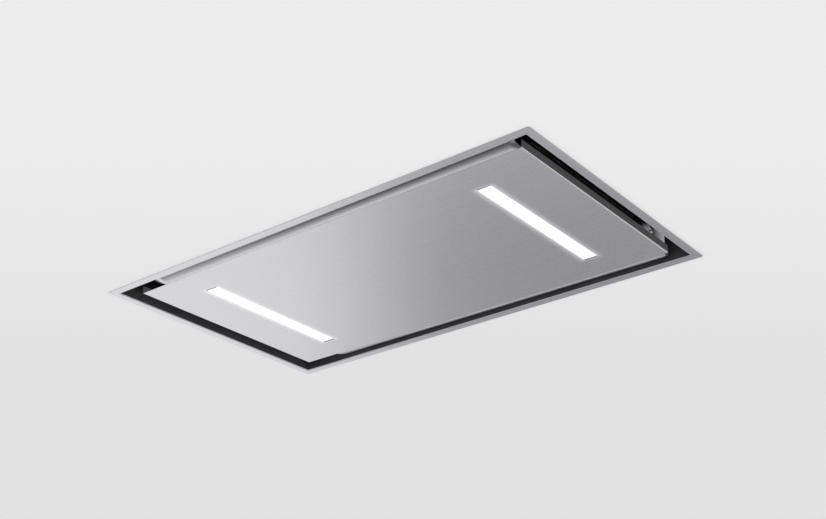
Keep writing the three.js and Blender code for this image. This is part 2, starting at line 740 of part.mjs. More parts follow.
// Stainless strip whose leg lies on the panel's back. It steps down past the panel's edge till it is
// level with the face, slopes off from there in a wide arc, and turns up at its end.
function airLip(fromLeft, fromRight) {
  const edge = panelY + SEAT;
  const centreOf = (point, slope, radius) =>
    at(point.x - radius * Math.sin(radians(slope)), point.y + radius * Math.cos(radians(slope)));
  const bottom = at(edge, 0);
  const steep = LIP_SLOPE + LIP_SWEEP;
  const wide = arc(centreOf(bottom, LIP_SLOPE, LIP_RADIUS), LIP_RADIUS, LIP_SLOPE - 90, steep - 90, 5);
  const tight = arc(centreOf(wide.at(-1), steep, LIP_END_RADIUS), LIP_END_RADIUS, steep - 90, 0, 6).slice(1);
  const top = tight.at(-1);
  const leg = [at(panelY - LIP_LEG, panelBack), at(edge, panelBack)];
  const line = [...leg, ...wide, ...tight, at(top.x, top.y + LIP_END)];
  return alongX(sheetShape(line, STAINLESS_SHEET), fromLeft - panelX, panelX - fromRight);
}

// Stiffening tray on the back of the face, with beads and cut-outs for the lamp housings.
function panelTray() {
  const low = panelBack;
  const shell = cut(
    slab(trayX, trayY, low, low + TRAY_WALL),
    slab(trayX - LINER_SHEET, trayY - LINER_SHEET, low + LINER_SHEET, low + TRAY_WALL + 1),
  );
  let tray = shell;
  for (const [, side] of sides) {
    const window = slab(lampBoxWidth / 2 + SEAT, lampBoxLength / 2 + SEAT, low - 1, low + TRAY_WALL + 1);
    tray = tray.subtract(window.translate([side * lampX, 0, 0]));
  }
  const beadLength = 2 * (lampX - lampBoxWidth);
  for (const row of [-1, 0, 1]) {
    tray = pressBead(tray, 0, row * TRAY_BEAD_PITCH, beadLength, false, low + LINER_SHEET, LINER_SHEET);
  }
  return tray;
}

// Closed channel over a slot, with a dark bezel at its foot round the lens.
function lampHousing() {
  const low = panelBack;
  const inner = { x: lampBoxWidth / 2 - LAMP_SHEET, y: lampBoxLength / 2 - LAMP_SHEET };
  return cut(
    slab(lampBoxWidth / 2, lampBoxLength / 2, low, low + LAMP_BOX_HEIGHT),
    slab(inner.x, inner.y, low + LAMP_SHEET, low + LAMP_BOX_HEIGHT - LAMP_SHEET),
    slab(LAMP_WIDTH / 2 + SEAT, LAMP_LENGTH / 2 + SEAT, low - 1, low + 2 * LAMP_SHEET),
  );
}

// Opal lens: the lit strip stands in the slot and its rim rests on the bezel.
function diffuser() {
  const rimLow = panelBack + LAMP_SHEET + SEAT;
  return join(
    slab(LAMP_WIDTH / 2, LAMP_LENGTH / 2, LENS_SET_BACK, LENS_SET_BACK + LENS_DEPTH),
    slab(LAMP_WIDTH / 2 + LENS_RIM, LAMP_LENGTH / 2 + LENS_RIM, rimLow, LENS_SET_BACK + LENS_DEPTH),
  );
}

// Circuit strip under the housing's roof, with a row of light-emitting diodes.
function ledBoard() {
  const roof = panelBack + LAMP_BOX_HEIGHT - LAMP_SHEET - SEAT;
  const count = Math.floor(LAMP_LENGTH / LED_PITCH);
  let board = slab(LED_BOARD_WIDTH / 2, LAMP_LENGTH / 2, roof - BOARD, roof);
  for (let i = 0; i < count; i++) {
    const y = (i - (count - 1) / 2) * LED_PITCH;
    const chip = slab(LED_SIZE / 2, LED_SIZE / 2, roof - BOARD - LED_SIZE / 4, roof - BOARD / 2);
    board = board.add(chip.translate([0, y, 0]));
  }
  return board;
}

// Arm that stands on the panel's end and carries the hinge eye, drawn at x = 0 to -PLATE.
function hingeArm() {
  const eye = at(hingeY, HINGE_HEIGHT);
  const low = panelBack;
  const outline = new THREE.Shape([
    at(hingeY - HINGE_ARM_LENGTH, low),
    at(hingeY - 4, low),
    ...arc(eye, HINGE_EYE - 1, -40, 125, 10),
    at(hingeY - HINGE_ARM_LENGTH / 2, low + HINGE_ARM_WAIST),
    at(hingeY - HINGE_ARM_LENGTH, low + HINGE_ARM_TIP),
  ]);
  const web = alongX(outline, -PLATE, 0);
  const foot = block(-HINGE_ARM_FOOT, 0, hingeY - HINGE_ARM_LENGTH, hingeY - 4, low, low + PLATE);
  return join(web, foot).subtract(alongX(hole(eye, HINGE_PIN_RADIUS + SEAT), -2 * PLATE, PLATE));
}

const hole = (centre, radius) => new THREE.Shape(arc(centre, radius, 0, 337.5, 15));

// Small steel plate on two folds, which meets the catch's magnet.
function striker() {
  const high = RECESS_HEIGHT - CATCH_DROP - POLE - SEAT - panelZ;
  const low = panelBack + LINER_SHEET + SEAT;
  const reach = CATCH_WIDTH / 2;
  const section = fold([at(reach, high), at(-reach, high), at(-reach, low), at(reach, low)], 2 * STRIKER_SHEET);
  return alongX(sheetShape(section, STRIKER_SHEET), -CATCH_LENGTH / 2, CATCH_LENGTH / 2);
}

piece(panel, "panel_face", panelFace(), stainless);
piece(panel, "air_lip_rear", airLip(...LIP_SETBACKS_REAR), stainless);
piece(panel, "air_lip_front", airLip(...LIP_SETBACKS_FRONT.toReversed()), stainless).rotation.z = Math.PI;
piece(panel, "panel_tray", panelTray(), galvanised);
for (const [name, side] of sides) {
  const lamp = groupAt(panel, side * lampX, 0, 0);
  piece(lamp, "lamp_housing_" + name, lampHousing(), darkPlastic);
  piece(lamp, "led_board_" + name, ledBoard(), boardGreen);
  piece(lamp, "diffuser_" + name, diffuser(), opal);
  const arm = side > 0 ? hingeArm() : hingeArm().mirror([1, 0, 0]);
  piece(groupAt(panel, side * armX, 0, 0), "hinge_arm_" + name, arm, zincPlate);
  const plate = groupAt(panel, (side * CATCH_SPACING) / 2, catchY, 0);
  piece(plate, "striker_" + name, striker(), zincPlate);
}

// ---------------------------------------------------------------- hinge brackets, pins and catches
// Bracket under the deck, drawn at x = 0 to -PLATE, whose web comes down to the pin.
function hingeBracket() {
  const high = RECESS_HEIGHT;
  const rear = hingeY + HINGE_EYE;
  const front = rear - HINGE_BRACKET_LENGTH;
  const eye = at(hingeY, hingeZ);
  const outline = new THREE.Shape([
    at(front, high),
    at(front, high - 8),
    ...arc(eye, HINGE_EYE, 215, 360, 10),
    at(rear, high),
  ]);
  const web = alongX(outline, -PLATE, 0);
  const foot = block(-HINGE_FOOT, 0, front, rear, high - PLATE, high);
  return join(web, foot).subtract(alongX(hole(eye, HINGE_PIN_RADIUS + SEAT), -2 * PLATE, PLATE));
}

// Riveted pin through the bracket and the arm, its axis along X, drawn from the bracket's outer face.
function hingePin() {
  const head = HINGE_PIN_RADIUS + 2;
  const inner = 2 * PLATE + 2 * SEAT;
  const shank = cylinder(HINGE_PIN_RADIUS, -inner - 1, SEAT + 1, 16);
  const heads = [cylinder(head, SEAT, SEAT + HINGE_HEAD, 16), cylinder(head, -inner - HINGE_HEAD, -inner, 16)];
  return join(shank, ...heads);
}

// Magnetic catch under the deck: a plastic body with two ears and two pole plates.
function magneticCatch() {
  const half = CATCH_WIDTH / 2;
  const ears = slab(CATCH_LENGTH / 2 + CATCH_EAR, half, RECESS_HEIGHT - PLATE, RECESS_HEIGHT);
  const body = slab(CATCH_LENGTH / 2, half, RECESS_HEIGHT - CATCH_DROP, RECESS_HEIGHT - PLATE / 2);
  const poles = [-1, 1].map((side) =>
    slab(CATCH_LENGTH / 2 - PLATE, POLE / 2, RECESS_HEIGHT - CATCH_DROP - POLE, RECESS_HEIGHT - CATCH_DROP / 2)
      .translate([0, (side * half) / 2, 0]),
  );
  const screws = [-1, 1].map((side) =>
    cylinder(PLATE, RECESS_HEIGHT - 2 * PLATE, RECESS_HEIGHT + 1, 16)
      .translate([side * (CATCH_LENGTH / 2 + CATCH_EAR / 2), 0, 0]),
  );
  return cut(join(ears, body, ...poles), ...screws);
}

for (const [name, side] of sides) {
  const bracket = side > 0 ? hingeBracket() : hingeBracket().mirror([1, 0, 0]);
  piece(groupAt(hood, side * bracketX, 0, 0), "hinge_bracket_" + name, bracket, zincPlate);
  const pin = piece(groupAt(hood, side * bracketX, hingeY, hingeZ), "hinge_pin_" + name, hingePin(), zincPlate);
  pin.rotation.y = (side * Math.PI) / 2;
  const spot = groupAt(hood, (side * CATCH_SPACING) / 2, catchY, 0);
  piece(spot, "catch_" + name, magneticCatch(), darkPlastic);
}

// ---------------------------------------------------------------- blower
const blower = groupAt(hood, blowerX, 0, CHASSIS_HEIGHT);

// Bell mouth: a flange between chassis and scroll, curving up into the wheel's eye.
function inletRing() {
  const steps = 3;
  const curve = Array.from({ length: steps + 1 }, (_, i) => {
    const angle = (Math.PI / 2) * (i / steps);
    return at(inletMouth - INLET_FLARE * Math.sin(angle), SEAT + INLET_RISE * (1 - Math.cos(angle)));
  });
  const line = [at(inletMouth + INLET_FLANGE, SEAT), ...curve].reverse();
  return revolve(sheetPoints(line, STEEL_SHEET));
}

// The scroll's plan: a spiral that grows from the tongue round to the straight exit.
function scrollPlan(grow, z0, z1) {
  const steps = 32;
  const spiral = Array.from({ length: steps + 1 }, (_, i) => {
    const degrees = SCROLL_TONGUE + ((360 - SCROLL_TONGUE) * i) / steps;
    const radius = spiralRadius(degrees) + grow;
    return at(radius * Math.cos(radians(degrees)), radius * Math.sin(radians(degrees)));
  });
  const exit = block(exitInner - grow, exitOuter + grow, 0, SCROLL_EXIT, z0, z1);
  return join(rise(new THREE.Shape(spiral), z0, z1), exit);
}

// Floor and spiral wall in one, open at the top and at the exit.
function scrollHousing() {
  const outside = scrollPlan(STEEL_SHEET, scrollFloor, scrollFloor + SCROLL_HEIGHT);
  const air = scrollPlan(0, scrollFloor + STEEL_SHEET, scrollFloor + SCROLL_HEIGHT + 1);
  const mouth = block(exitInner, exitOuter, SCROLL_EXIT / 2, SCROLL_EXIT + 1, scrollFloor + STEEL_SHEET, coverZ);
  const eye = cylinder(inletMouth, scrollFloor - 1, scrollFloor + 2, 48);
  return cut(outside, air, mouth, eye);
}

// Flat cover of the scroll with the motor's hole.
function scrollCover() {
  const plate = scrollPlan(STEEL_SHEET, coverZ, coverZ + STEEL_SHEET);
  return plate.subtract(cylinder(MOTOR_RADIUS + 2, coverZ - 1, coverZ + 2, 48));
}

// One forward-curved blade: an arc of sheet from the wheel's inner to its outer radius.
function blade() {
  const steps = 3;
  const inner = wheelInner;
  const outer = IMPELLER_RADIUS - WHEEL_SHEET / 2;
  const line = Array.from({ length: steps + 1 }, (_, i) => {
    const t = i / steps;
    return at(inner + (outer - inner) * t, -BLADE_SAG * Math.sin(Math.PI * (0.15 + 0.85 * t)));
  });
  return rise(sheetShape(line, BLADE_SHEET), IMPELLER_BASE + WHEEL_SHEET + SEAT, cageTop - WHEEL_SHEET / 2);
}

const wheelRing = (base) => revolve([
  at(wheelInner + 0.5, base),
  at(IMPELLER_RADIUS, base),
  at(IMPELLER_RADIUS, base + WHEEL_SHEET),
  at(wheelInner + 0.5, base + WHEEL_SHEET),
], BLADE_COUNT);

// The wheel's cage: the blades under their upper ring.
function impeller() {
  const one = blade();
  const step = 360 / BLADE_COUNT;
  const blades = Array.from({ length: BLADE_COUNT }, (_, i) => one.rotate([0, 0, step * i]));
  return join(wheelRing(cageTop - WHEEL_SHEET), ...blades);
}

// The plate that closes the cage's top and carries it on the shaft by its hub.
function impellerPlate() {
  const plate = cylinder(IMPELLER_RADIUS, wheelTop - WHEEL_SHEET, wheelTop, BLADE_COUNT);
  const hub = cylinder(HUB_RADIUS, hubTop - HUB_HEIGHT, hubTop);
  const bore = cylinder(SHAFT_RADIUS + SEAT, hubTop - HUB_HEIGHT - 1, hubTop + 1, 20);
  return cut(join(plate, hub), bore);
}

function motorShaft() {
  return cylinder(SHAFT_RADIUS, hubTop - HUB_HEIGHT - 3, motorBase + MOTOR_HEIGHT / 2, 20);
}

// Motor can with cooling fins and a fixing flange; the shaft's bore opens downwards.
function motor() {
  const flange = coverZ + STEEL_SHEET + 2 * SEAT + PLATE;
  const top = motorBase + MOTOR_HEIGHT;
  const body = revolve([
    at(0, motorBase),
    at(MOTOR_RADIUS - MOTOR_EDGE, motorBase),
    at(MOTOR_RADIUS, motorBase + MOTOR_EDGE),
    at(MOTOR_RADIUS, flange),
    at(MOTOR_RADIUS + MOTOR_FLANGE, flange),
    at(MOTOR_RADIUS + MOTOR_FLANGE, flange + PLATE),
    at(MOTOR_RADIUS - MOTOR_EDGE, flange + PLATE),
    at(MOTOR_RADIUS - 2 * MOTOR_EDGE, top - MOTOR_EDGE),
    at(MOTOR_RADIUS - MOTOR_DOME, top),
    at(0, top),
  ]);
  const groove = block(
    MOTOR_RADIUS * 0.4,
    MOTOR_RADIUS - 2 * MOTOR_EDGE,
    -MOTOR_FIN_GAP / 2,
    MOTOR_FIN_GAP / 2,
    top - MOTOR_EDGE,
    top + 1,
  );
  const grooves = Array.from({ length: MOTOR_FINS }, (_, i) => groove.rotate([0, 0, (360 * i) / MOTOR_FINS]));
  const bore = cylinder(SHAFT_RADIUS + SEAT, motorBase - 1, motorBase + MOTOR_HEIGHT / 2 + SEAT, 20);
  return cut(body, bore, ...grooves);
}

// Ring with three arms that carries the motor on the scroll's cover.
function motorBracket() {
  const low = coverZ + STEEL_SHEET + SEAT;
  const outer = MOTOR_RADIUS + MOTOR_FLANGE + 3;
  const ring = cylinder(outer, low, low + PLATE, 36);
  const arm = block(0, outer + MOTOR_ARM, -MOTOR_ARM_WIDTH / 2, MOTOR_ARM_WIDTH / 2, low, low + PLATE);
  const rib = block(outer - 2, outer + MOTOR_ARM - 8, -PLATE / 2, PLATE / 2, low, low + 3 * PLATE);
  const arms = [60, 180, 300].map((degrees) => join(arm, rib).rotate([0, 0, degrees]));
  return join(ring, ...arms).subtract(cylinder(MOTOR_RADIUS + SEAT, low - 1, low + 4 * PLATE, 36));
}

// Round run capacitor standing in the corner that the spiral leaves free.
function capacitor() {
  const r = CAPACITOR_RADIUS;
  const h = CAPACITOR_HEIGHT;
  const stud = h + CAPACITOR_STUD;
  const edge = CAPACITOR_EDGE;
  const profile = [at(0, SEAT), at(r, SEAT), at(r, h - edge), at(r - edge, h), at(edge + 1, h)];
  return revolve([...profile, at(edge + 1, stud), at(0, stud)], 20);
}

// Thin duct that turns from the scroll's rectangular exit into the collar's circle.
function ductTransition() {
  const rings = 5;
  const perSide = 7;
  const rect = {
    x0: exitInner,
    x1: exitOuter,
    z0: scrollFloor + STEEL_SHEET,
    z1: scrollFloor + SCROLL_HEIGHT,
  };
  const loop = (share, grow) => {
    const blend = THREE.MathUtils.smoothstep(share, 0, 1);
    const corners = [
      [rect.x0 - grow, rect.z0 - grow],
      [rect.x1 + grow, rect.z0 - grow],
      [rect.x1 + grow, rect.z1 + grow],
      [rect.x0 - grow, rect.z1 + grow],
    ];
    const radius = collarBore - COLLAR_WALL + grow;
    const points = [];
    for (let side = 0; side < 4; side++) {
      for (let j = 0; j < perSide; j++) {
        const [ax, az] = corners[side];
        const [bx, bz] = corners[(side + 1) % 4];
        const angle = (-0.75 + 0.5 * (side + j / perSide)) * Math.PI;
        const flat = at(ax + ((bx - ax) * j) / perSide, az + ((bz - az) * j) / perSide);
        const round = at(collarX + radius * Math.cos(angle), collarZ + radius * Math.sin(angle));
        const point = flat.lerp(round, blend);
        points.push([point.x, SCROLL_EXIT + SEAT + share * TRANSITION_LENGTH, point.y]);
      }
    }
    return points;
  };
  const shares = Array.from({ length: rings + 1 }, (_, i) => i / rings);
  const skin = [...shares.map((s) => loop(s, STEEL_SHEET)), ...shares.reverse().map((s) => loop(s, 0))];
  const around = 4 * perSide;
  const index = [];
  for (let i = 0; i < skin.length; i++) {
    for (let j = 0; j < around; j++) {
      const a = i * around + j;
      const b = i * around + ((j + 1) % around);
      const c = ((i + 1) % skin.length) * around + j;
      const d = ((i + 1) % skin.length) * around + ((j + 1) % around);
      index.push(a, c, b, b, c, d);
    }
  }
  const geometry = new THREE.BufferGeometry();
  geometry.setAttribute("position", new THREE.Float32BufferAttribute(skin.flat(2), 3));
  geometry.setIndex(index);
  return solid(geometry.toNonIndexed());
}

piece(blower, "inlet_ring", inletRing(), galvanised);
piece(blower, "scroll_housing", scrollHousing(), galvanised);
piece(blower, "scroll_cover", scrollCover(), galvanised);
piece(blower, "impeller", impeller(), galvanised);
piece(blower, "impeller_plate", impellerPlate(), galvanised);
piece(blower, "impeller_shroud", wheelRing(IMPELLER_BASE), galvanised);
piece(blower, "motor_shaft", motorShaft(), zincPlate);
piece(blower, "motor", motor(), motorPaint);
piece(blower, "motor_bracket", motorBracket(), zincPlate);
piece(blower, "duct_transition", ductTransition(), galvanised);
const corner = CAPACITOR_RADIUS + 2 * BOX_CLEARANCE;
const capacitorSpot = groupAt(blower, boxLow.x + corner, boxHigh.y - corner, 0);
piece(capacitorSpot, "capacitor", capacitor(), whiteCan);

// ---------------------------------------------------------------- motor box and duct collar
const motorBoxGroup = groupAt(hood, 0, (boxLow.y + boxHigh.y) / 2, CHASSIS_HEIGHT);
const boxHalfY = (boxHigh.y - boxLow.y) / 2;

// Four folded walls round the blower, with the collar's hole in the rear one.
function motorBox() {
  const walls = rectangularRing(
    boxHalfX,
    boxHalfY,
    boxHalfX - STEEL_SHEET,
    boxHalfY - STEEL_SHEET,
    SEAT,
    boxHeight,
  );
  const bore = cylinder(collarBore + 1, -STEEL_SHEET * 2, STEEL_SHEET * 2, 36).rotate([90, 0, 0]);
  return walls.subtract(bore.translate([blowerX + collarX, boxHalfY, collarZ]));
}

// Lid with turned-down edges and two beads.
function motorBoxLid() {
  const reach = SEAT + STEEL_SHEET;
  const high = boxHeight + SEAT + STEEL_SHEET;
  const shell = cut(
    slab(boxHalfX + reach, boxHalfY + reach, boxHeight - LID_LIP, high),
    slab(boxHalfX + SEAT, boxHalfY + SEAT, boxHeight - LID_LIP - 1, high - STEEL_SHEET),
  );
  const notch = block(
    blowerX + collarX - COLLAR_FLANGE - 2,
    blowerX + collarX + COLLAR_FLANGE + 2,
    boxHalfY,
    boxHalfY + 2 * reach,
    boxHeight - LID_LIP - 1,
    high - STEEL_SHEET,
  );
  const length = 2 * (boxHalfX - BEAD_END_ROOM);
  const bead = boxHalfY / 2;
  let lid = cut(shell, notch);
  for (const side of [-1, 1]) lid = pressBead(lid, 0, side * bead, length, false, high, STEEL_SHEET);
  return lid;
}

// The collar's own frame: its axis is +Y, and y = 0 is the motor box's outer face.
const collar = groupAt(hood, blowerX + collarX, boxHigh.y, CHASSIS_HEIGHT + collarZ);

// Tube with a square flange, a stop ring for the flaps inside and two holes for the flap pin.
function ductCollar() {
  const stopTop = FLAP_OFFSET - FLAP_SHEET / 2 - SEAT;
  const tube = revolve([
    at(collarBore, SEAT),
    at(DUCT_RADIUS, SEAT),
    at(DUCT_RADIUS, COLLAR_LENGTH - COLLAR_TAPER),
    at(DUCT_RADIUS - COLLAR_WALL / 3, COLLAR_LENGTH),
    at(collarBore, COLLAR_LENGTH),
    at(collarBore, stopTop),
    at(collarBore - FLAP_OVERLAP, stopTop),
    at(collarBore - FLAP_OVERLAP, stopTop - FLAP_STOP),
    at(collarBore, stopTop - FLAP_STOP - FLAP_OVERLAP),
  ]);
  const flange = rise(
    roundedRectangle(COLLAR_FLANGE, COLLAR_FLANGE, COLLAR_CORNER),
    SEAT,
    SEAT + COLLAR_FLANGE_THICKNESS,
  ).subtract(cylinder(collarBore + COLLAR_WALL / 2, -1, 4, 32));
  const screwAt = COLLAR_FLANGE - COLLAR_SCREW_INSET;
  const screws = fourCorners.map(([x, y]) =>
    cylinder(SCREW_HOLE, -1, 4, 12).translate([x * screwAt, y * screwAt, 0]),
  );
  const pinHole = cylinder(FLAP_PIN_RADIUS + SEAT, -DUCT_RADIUS - 2, DUCT_RADIUS + 2, 16);
  const lying = cut(join(tube, flange), ...screws).rotate([-90, 0, 0]);
  return lying.subtract(pinHole.translate([0, FLAP_OFFSET, 0]));
}

// Half-round flap with two hinge barrels on the common pin, each in its own knuckle places.
function flap(side) {
  const radius = collarBore - FLAP_CLEARANCE;
  const edge = FLAP_BARREL + 2 * SEAT;
  const half = FLAP_SHEET / 2;
  const disc = cylinder(radius, -half, half, 28).rotate([-90, 0, 0]);
  let body = disc.subtract(block(-radius - 1, edge, -FLAP_SHEET, FLAP_SHEET, -radius - 1, radius + 1));
  for (const start of side > 0 ? [-2, 0] : [-1, 1]) {
    const low = start * FLAP_KNUCKLE + SEAT;
    const high = (start + 1) * FLAP_KNUCKLE - SEAT;
    const web = block(0, edge + 1, -half, half, low, high);
    body = join(body, cylinder(FLAP_BARREL, low, high, 16), web);
  }
  const plain = body.subtract(cylinder(FLAP_PIN_RADIUS + SEAT, -radius, radius, 12));
  return side > 0 ? plain : plain.mirror([1, 0, 0]);
}

piece(motorBoxGroup, "motor_box", motorBox(), galvanised);
piece(motorBoxGroup, "motor_box_lid", motorBoxLid(), galvanised);
piece(collar, "duct_collar", ductCollar(), darkPlastic);
const flapGroup = groupAt(collar, 0, FLAP_OFFSET, 0);
piece(flapGroup, "flap_pin", cylinder(FLAP_PIN_RADIUS, -DUCT_RADIUS + SEAT, DUCT_RADIUS - SEAT, 16), zincPlate);
for (const [name, side] of sides) piece(flapGroup, "flap_" + name, flap(side), darkPlastic);

// ---------------------------------------------------------------- control box and lamp driver
const controlX = boxHalfX + CONTROL_OFFSET + CONTROL_LENGTH / 2;
const control = groupAt(hood, controlX, 0, CHASSIS_HEIGHT);
const glandZ = SEAT + CONTROL_HEIGHT / 2;

// Open plastic box with four bosses and a hole for the cable gland.
function controlBox() {
  const halfX = CONTROL_LENGTH / 2;
  const halfY = CONTROL_DEPTH / 2;
  const shell = cut(
    rise(roundedRectangle(halfX, halfY, CONTROL_CORNER), SEAT, SEAT + CONTROL_HEIGHT),
    slab(halfX - CONTROL_WALL, halfY - CONTROL_WALL, SEAT + CONTROL_WALL, CONTROL_HEIGHT + 2),
  );
  const reach = CONTROL_BOSS + CONTROL_WALL - 1;
  const bosses = fourCorners.map(([x, y]) =>
    cylinder(CONTROL_BOSS, SEAT + 1, boardLevel() - SEAT, 12)
      .translate([x * (halfX - reach), y * (halfY - reach), 0]),
  );
  const gland = cylinder(GLAND_RADIUS * 0.7 + SEAT, -CONTROL_WALL * 2, CONTROL_WALL * 2, 24).rotate([0, 90, 0]);
  return join(shell, ...bosses).subtract(gland.translate([halfX, 0, glandZ]));
}

const boardLevel = () => SEAT + CONTROL_HEIGHT / 3;

// Circuit board with relays, a transformer and a terminal block.
function controlBoard() {
  const low = boardLevel();
  const halfX = CONTROL_LENGTH / 2 - CONTROL_WALL - GLAND_STUB - 1;
  const halfY = CONTROL_DEPTH / 2 - CONTROL_WALL - 1;
  const top = low + BOARD / 2;
  const left = BOARD_MARGIN - halfX;
  const right = halfX - BOARD_MARGIN;
  const relays = [-1, 0, 1].map((row) => {
    const middle = row * RELAY_PITCH;
    const half = RELAY_WIDTH / 2;
    return block(left, left + RELAY_LENGTH, middle - half, middle + half, top, low + RELAY_HEIGHT);
  });
  const side = TRANSFORMER_SIDE / 2;
  const transformer = block(-side, side, -side, side, top, low + TRANSFORMER_HEIGHT);
  const blockEnd = BOARD_MARGIN - halfY;
  const blockLength = TERMINAL_WAYS * TERMINAL_PITCH + 1;
  const mouths = Array.from({ length: TERMINAL_WAYS }, (_, i) => {
    const start = blockEnd + (TERMINAL_PITCH - WIRE_MOUTH + 1) / 2 + i * TERMINAL_PITCH;
    const sill = low + TERMINAL_HEIGHT / 3;
    return block(right - TERMINAL_DEPTH + 4, right + 1, start, start + WIRE_MOUTH, sill, sill + WIRE_MOUTH);
  });
  const terminal = cut(
    block(right - TERMINAL_DEPTH, right, blockEnd, blockEnd + blockLength, top, low + TERMINAL_HEIGHT),
    ...mouths,
  );
  return join(slab(halfX, halfY, low, low + BOARD), ...relays, transformer, terminal);
}

// Lid that sits over the box's rim.
function controlLid() {
  const halfX = CONTROL_LENGTH / 2;
  const halfY = CONTROL_DEPTH / 2;
  const rim = SEAT + CONTROL_HEIGHT + SEAT;
  const plate = rise(roundedRectangle(halfX, halfY, CONTROL_CORNER), rim, rim + CONTROL_WALL);
  const inner = CONTROL_WALL + SEAT;
  const skirt = rectangularRing(
    halfX - inner,
    halfY - inner,
    halfX - inner - CONTROL_WALL,
    halfY - inner - CONTROL_WALL,
    rim - CONTROL_LID_SKIRT,
    rim + CONTROL_WALL / 2,
  );
  return join(plate, skirt);
}

// Hexagonal gland with a domed nut and an open bore; its axis is +X from the box's wall.
function cableGland() {
  const neck = GLAND_RADIUS * 0.7;
  const nut = GLAND_LENGTH * 0.45;
  const body = revolve([
    at(GLAND_BORE, -CONTROL_WALL - GLAND_STUB),
    at(neck, -CONTROL_WALL - GLAND_STUB),
    at(neck, SEAT),
    at(GLAND_RADIUS - 1.5, SEAT),
    at(GLAND_RADIUS - 1.5, nut),
    at(GLAND_RADIUS - 2, GLAND_LENGTH - 4),
    at(GLAND_BORE + 1.5, GLAND_LENGTH),
    at(GLAND_BORE, GLAND_LENGTH),
  ], 16);
  const hexagon = cut(cylinder(GLAND_RADIUS, SEAT, nut - 1.5, 6), cylinder(GLAND_BORE, -1, GLAND_LENGTH, 16));
  return join(body, hexagon).rotate([0, 90, 0]);
}

// Closed driver housing with a fixing ear at each end.
function lampDriver() {
  const halfX = DRIVER_LENGTH / 2;
  const halfY = DRIVER_DEPTH / 2;
  const body = rise(roundedRectangle(halfX, halfY, DRIVER_CORNER), SEAT, SEAT + DRIVER_HEIGHT);
  const foot = roundedRectangle(halfX + DRIVER_EAR, DRIVER_DEPTH / 3, DRIVER_CORNER);
  const ears = rise(foot, SEAT, SEAT + PLATE);
  const holes = [-1, 1].map((side) =>
    cylinder(SCREW_HOLE, -1, 4, 12).translate([side * (halfX + DRIVER_EAR / 2), 0, 0]),
  );
  const half = DRIVER_GROOVE_WIDTH / 2;
  const grooves = Array.from({ length: DRIVER_GROOVES }, (_, i) => {
    const x = (i - (DRIVER_GROOVES - 1) / 2) * DRIVER_GROOVE_PITCH;
    return block(x - half, x + half, -DRIVER_DEPTH, DRIVER_DEPTH, DRIVER_HEIGHT - 1, DRIVER_HEIGHT + 2);
  });
  return cut(join(body, ears), ...holes, ...grooves);
}

piece(control, "control_box", controlBox(), greyPlastic);
piece(control, "control_board", controlBoard(), boardGreen);
piece(control, "control_lid", controlLid(), greyPlastic);
piece(groupAt(control, CONTROL_LENGTH / 2, 0, glandZ), "cable_gland", cableGland(), darkPlastic);
const driver = groupAt(hood, -boxHalfX - CONTROL_OFFSET - DRIVER_LENGTH / 2 - DRIVER_EAR, 0, CHASSIS_HEIGHT);
piece(driver, "lamp_driver", lampDriver(), greyPlastic);

export default hood;
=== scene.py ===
import math

import bmesh
import bpy
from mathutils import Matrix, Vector


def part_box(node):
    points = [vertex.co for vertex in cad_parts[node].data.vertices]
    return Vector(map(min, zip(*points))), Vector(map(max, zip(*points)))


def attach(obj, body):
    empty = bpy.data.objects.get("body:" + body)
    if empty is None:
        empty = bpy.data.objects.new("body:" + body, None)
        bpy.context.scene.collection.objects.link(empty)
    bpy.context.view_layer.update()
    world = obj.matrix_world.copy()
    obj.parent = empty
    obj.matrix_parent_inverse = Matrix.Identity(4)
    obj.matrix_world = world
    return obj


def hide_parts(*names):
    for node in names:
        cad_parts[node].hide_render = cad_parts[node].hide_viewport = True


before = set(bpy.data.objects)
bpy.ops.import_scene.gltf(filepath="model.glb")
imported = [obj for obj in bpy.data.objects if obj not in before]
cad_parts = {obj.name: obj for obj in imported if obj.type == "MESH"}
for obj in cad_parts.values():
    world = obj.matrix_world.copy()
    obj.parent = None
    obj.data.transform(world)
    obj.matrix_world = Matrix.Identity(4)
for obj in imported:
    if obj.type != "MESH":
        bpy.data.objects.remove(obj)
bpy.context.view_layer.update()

mm = 0.001


# ---------------------------------------------------------------- camera
# The photograph's view: from the front right, below the ceiling and looking up at the hood.
camera_place = Vector((1.2557, -1.4282, -0.9008))
camera_yaw = math.radians(37.13)
camera_pitch = math.radians(26.10)
camera_data = bpy.data.cameras.new("camera")
camera_data.sensor_width = 36
camera_data.lens = 53.95
camera_data.shift_x = -0.0790
camera = bpy.data.objects.new("camera", camera_data)
bpy.context.scene.collection.objects.link(camera)
camera.location = camera_place
camera.rotation_euler = (math.pi / 2 + camera_pitch, 0, camera_yaw)
bpy.context.scene.camera = camera


# ---------------------------------------------------------------- ceiling and light
# A white plasterboard ceiling with the cut-out that the hood hangs in. The room's light comes
# from a pale surround, brighter on the left, which the steel reflects; two soft lamps stand over
# the ceiling for the steel box that is above it.
def colour(code):
    """An sRGB hex value as a linear colour."""
    parts = [int(code[i:i + 2], 16) / 255 for i in (1, 3, 5)]
    return [c / 12.92 if c <= 0.04045 else ((c + 0.055) / 1.055) ** 2.4 for c in parts] + [1.0]


def add_node(tree, kind, values=None, links=None, **settings):
    """Adds a shader node with its settings, its input values and the sockets linked into it."""
    made = tree.nodes.new("ShaderNode" + kind)
    for name, value in settings.items():
        setattr(made, name, value)
    for name, value in (values or {}).items():
        made.inputs[name].default_value = value
    for name, socket in (links or {}).items():
        tree.links.new(socket, made.inputs[name])
    return made


def start(name, primitive, **place):
    """A new primitive, the only thing selected, under its piece's name."""
    bpy.ops.object.select_all(action="DESELECT")
    primitive(**place)
    piece = bpy.context.object
    piece.name = piece.data.name = name
    return piece


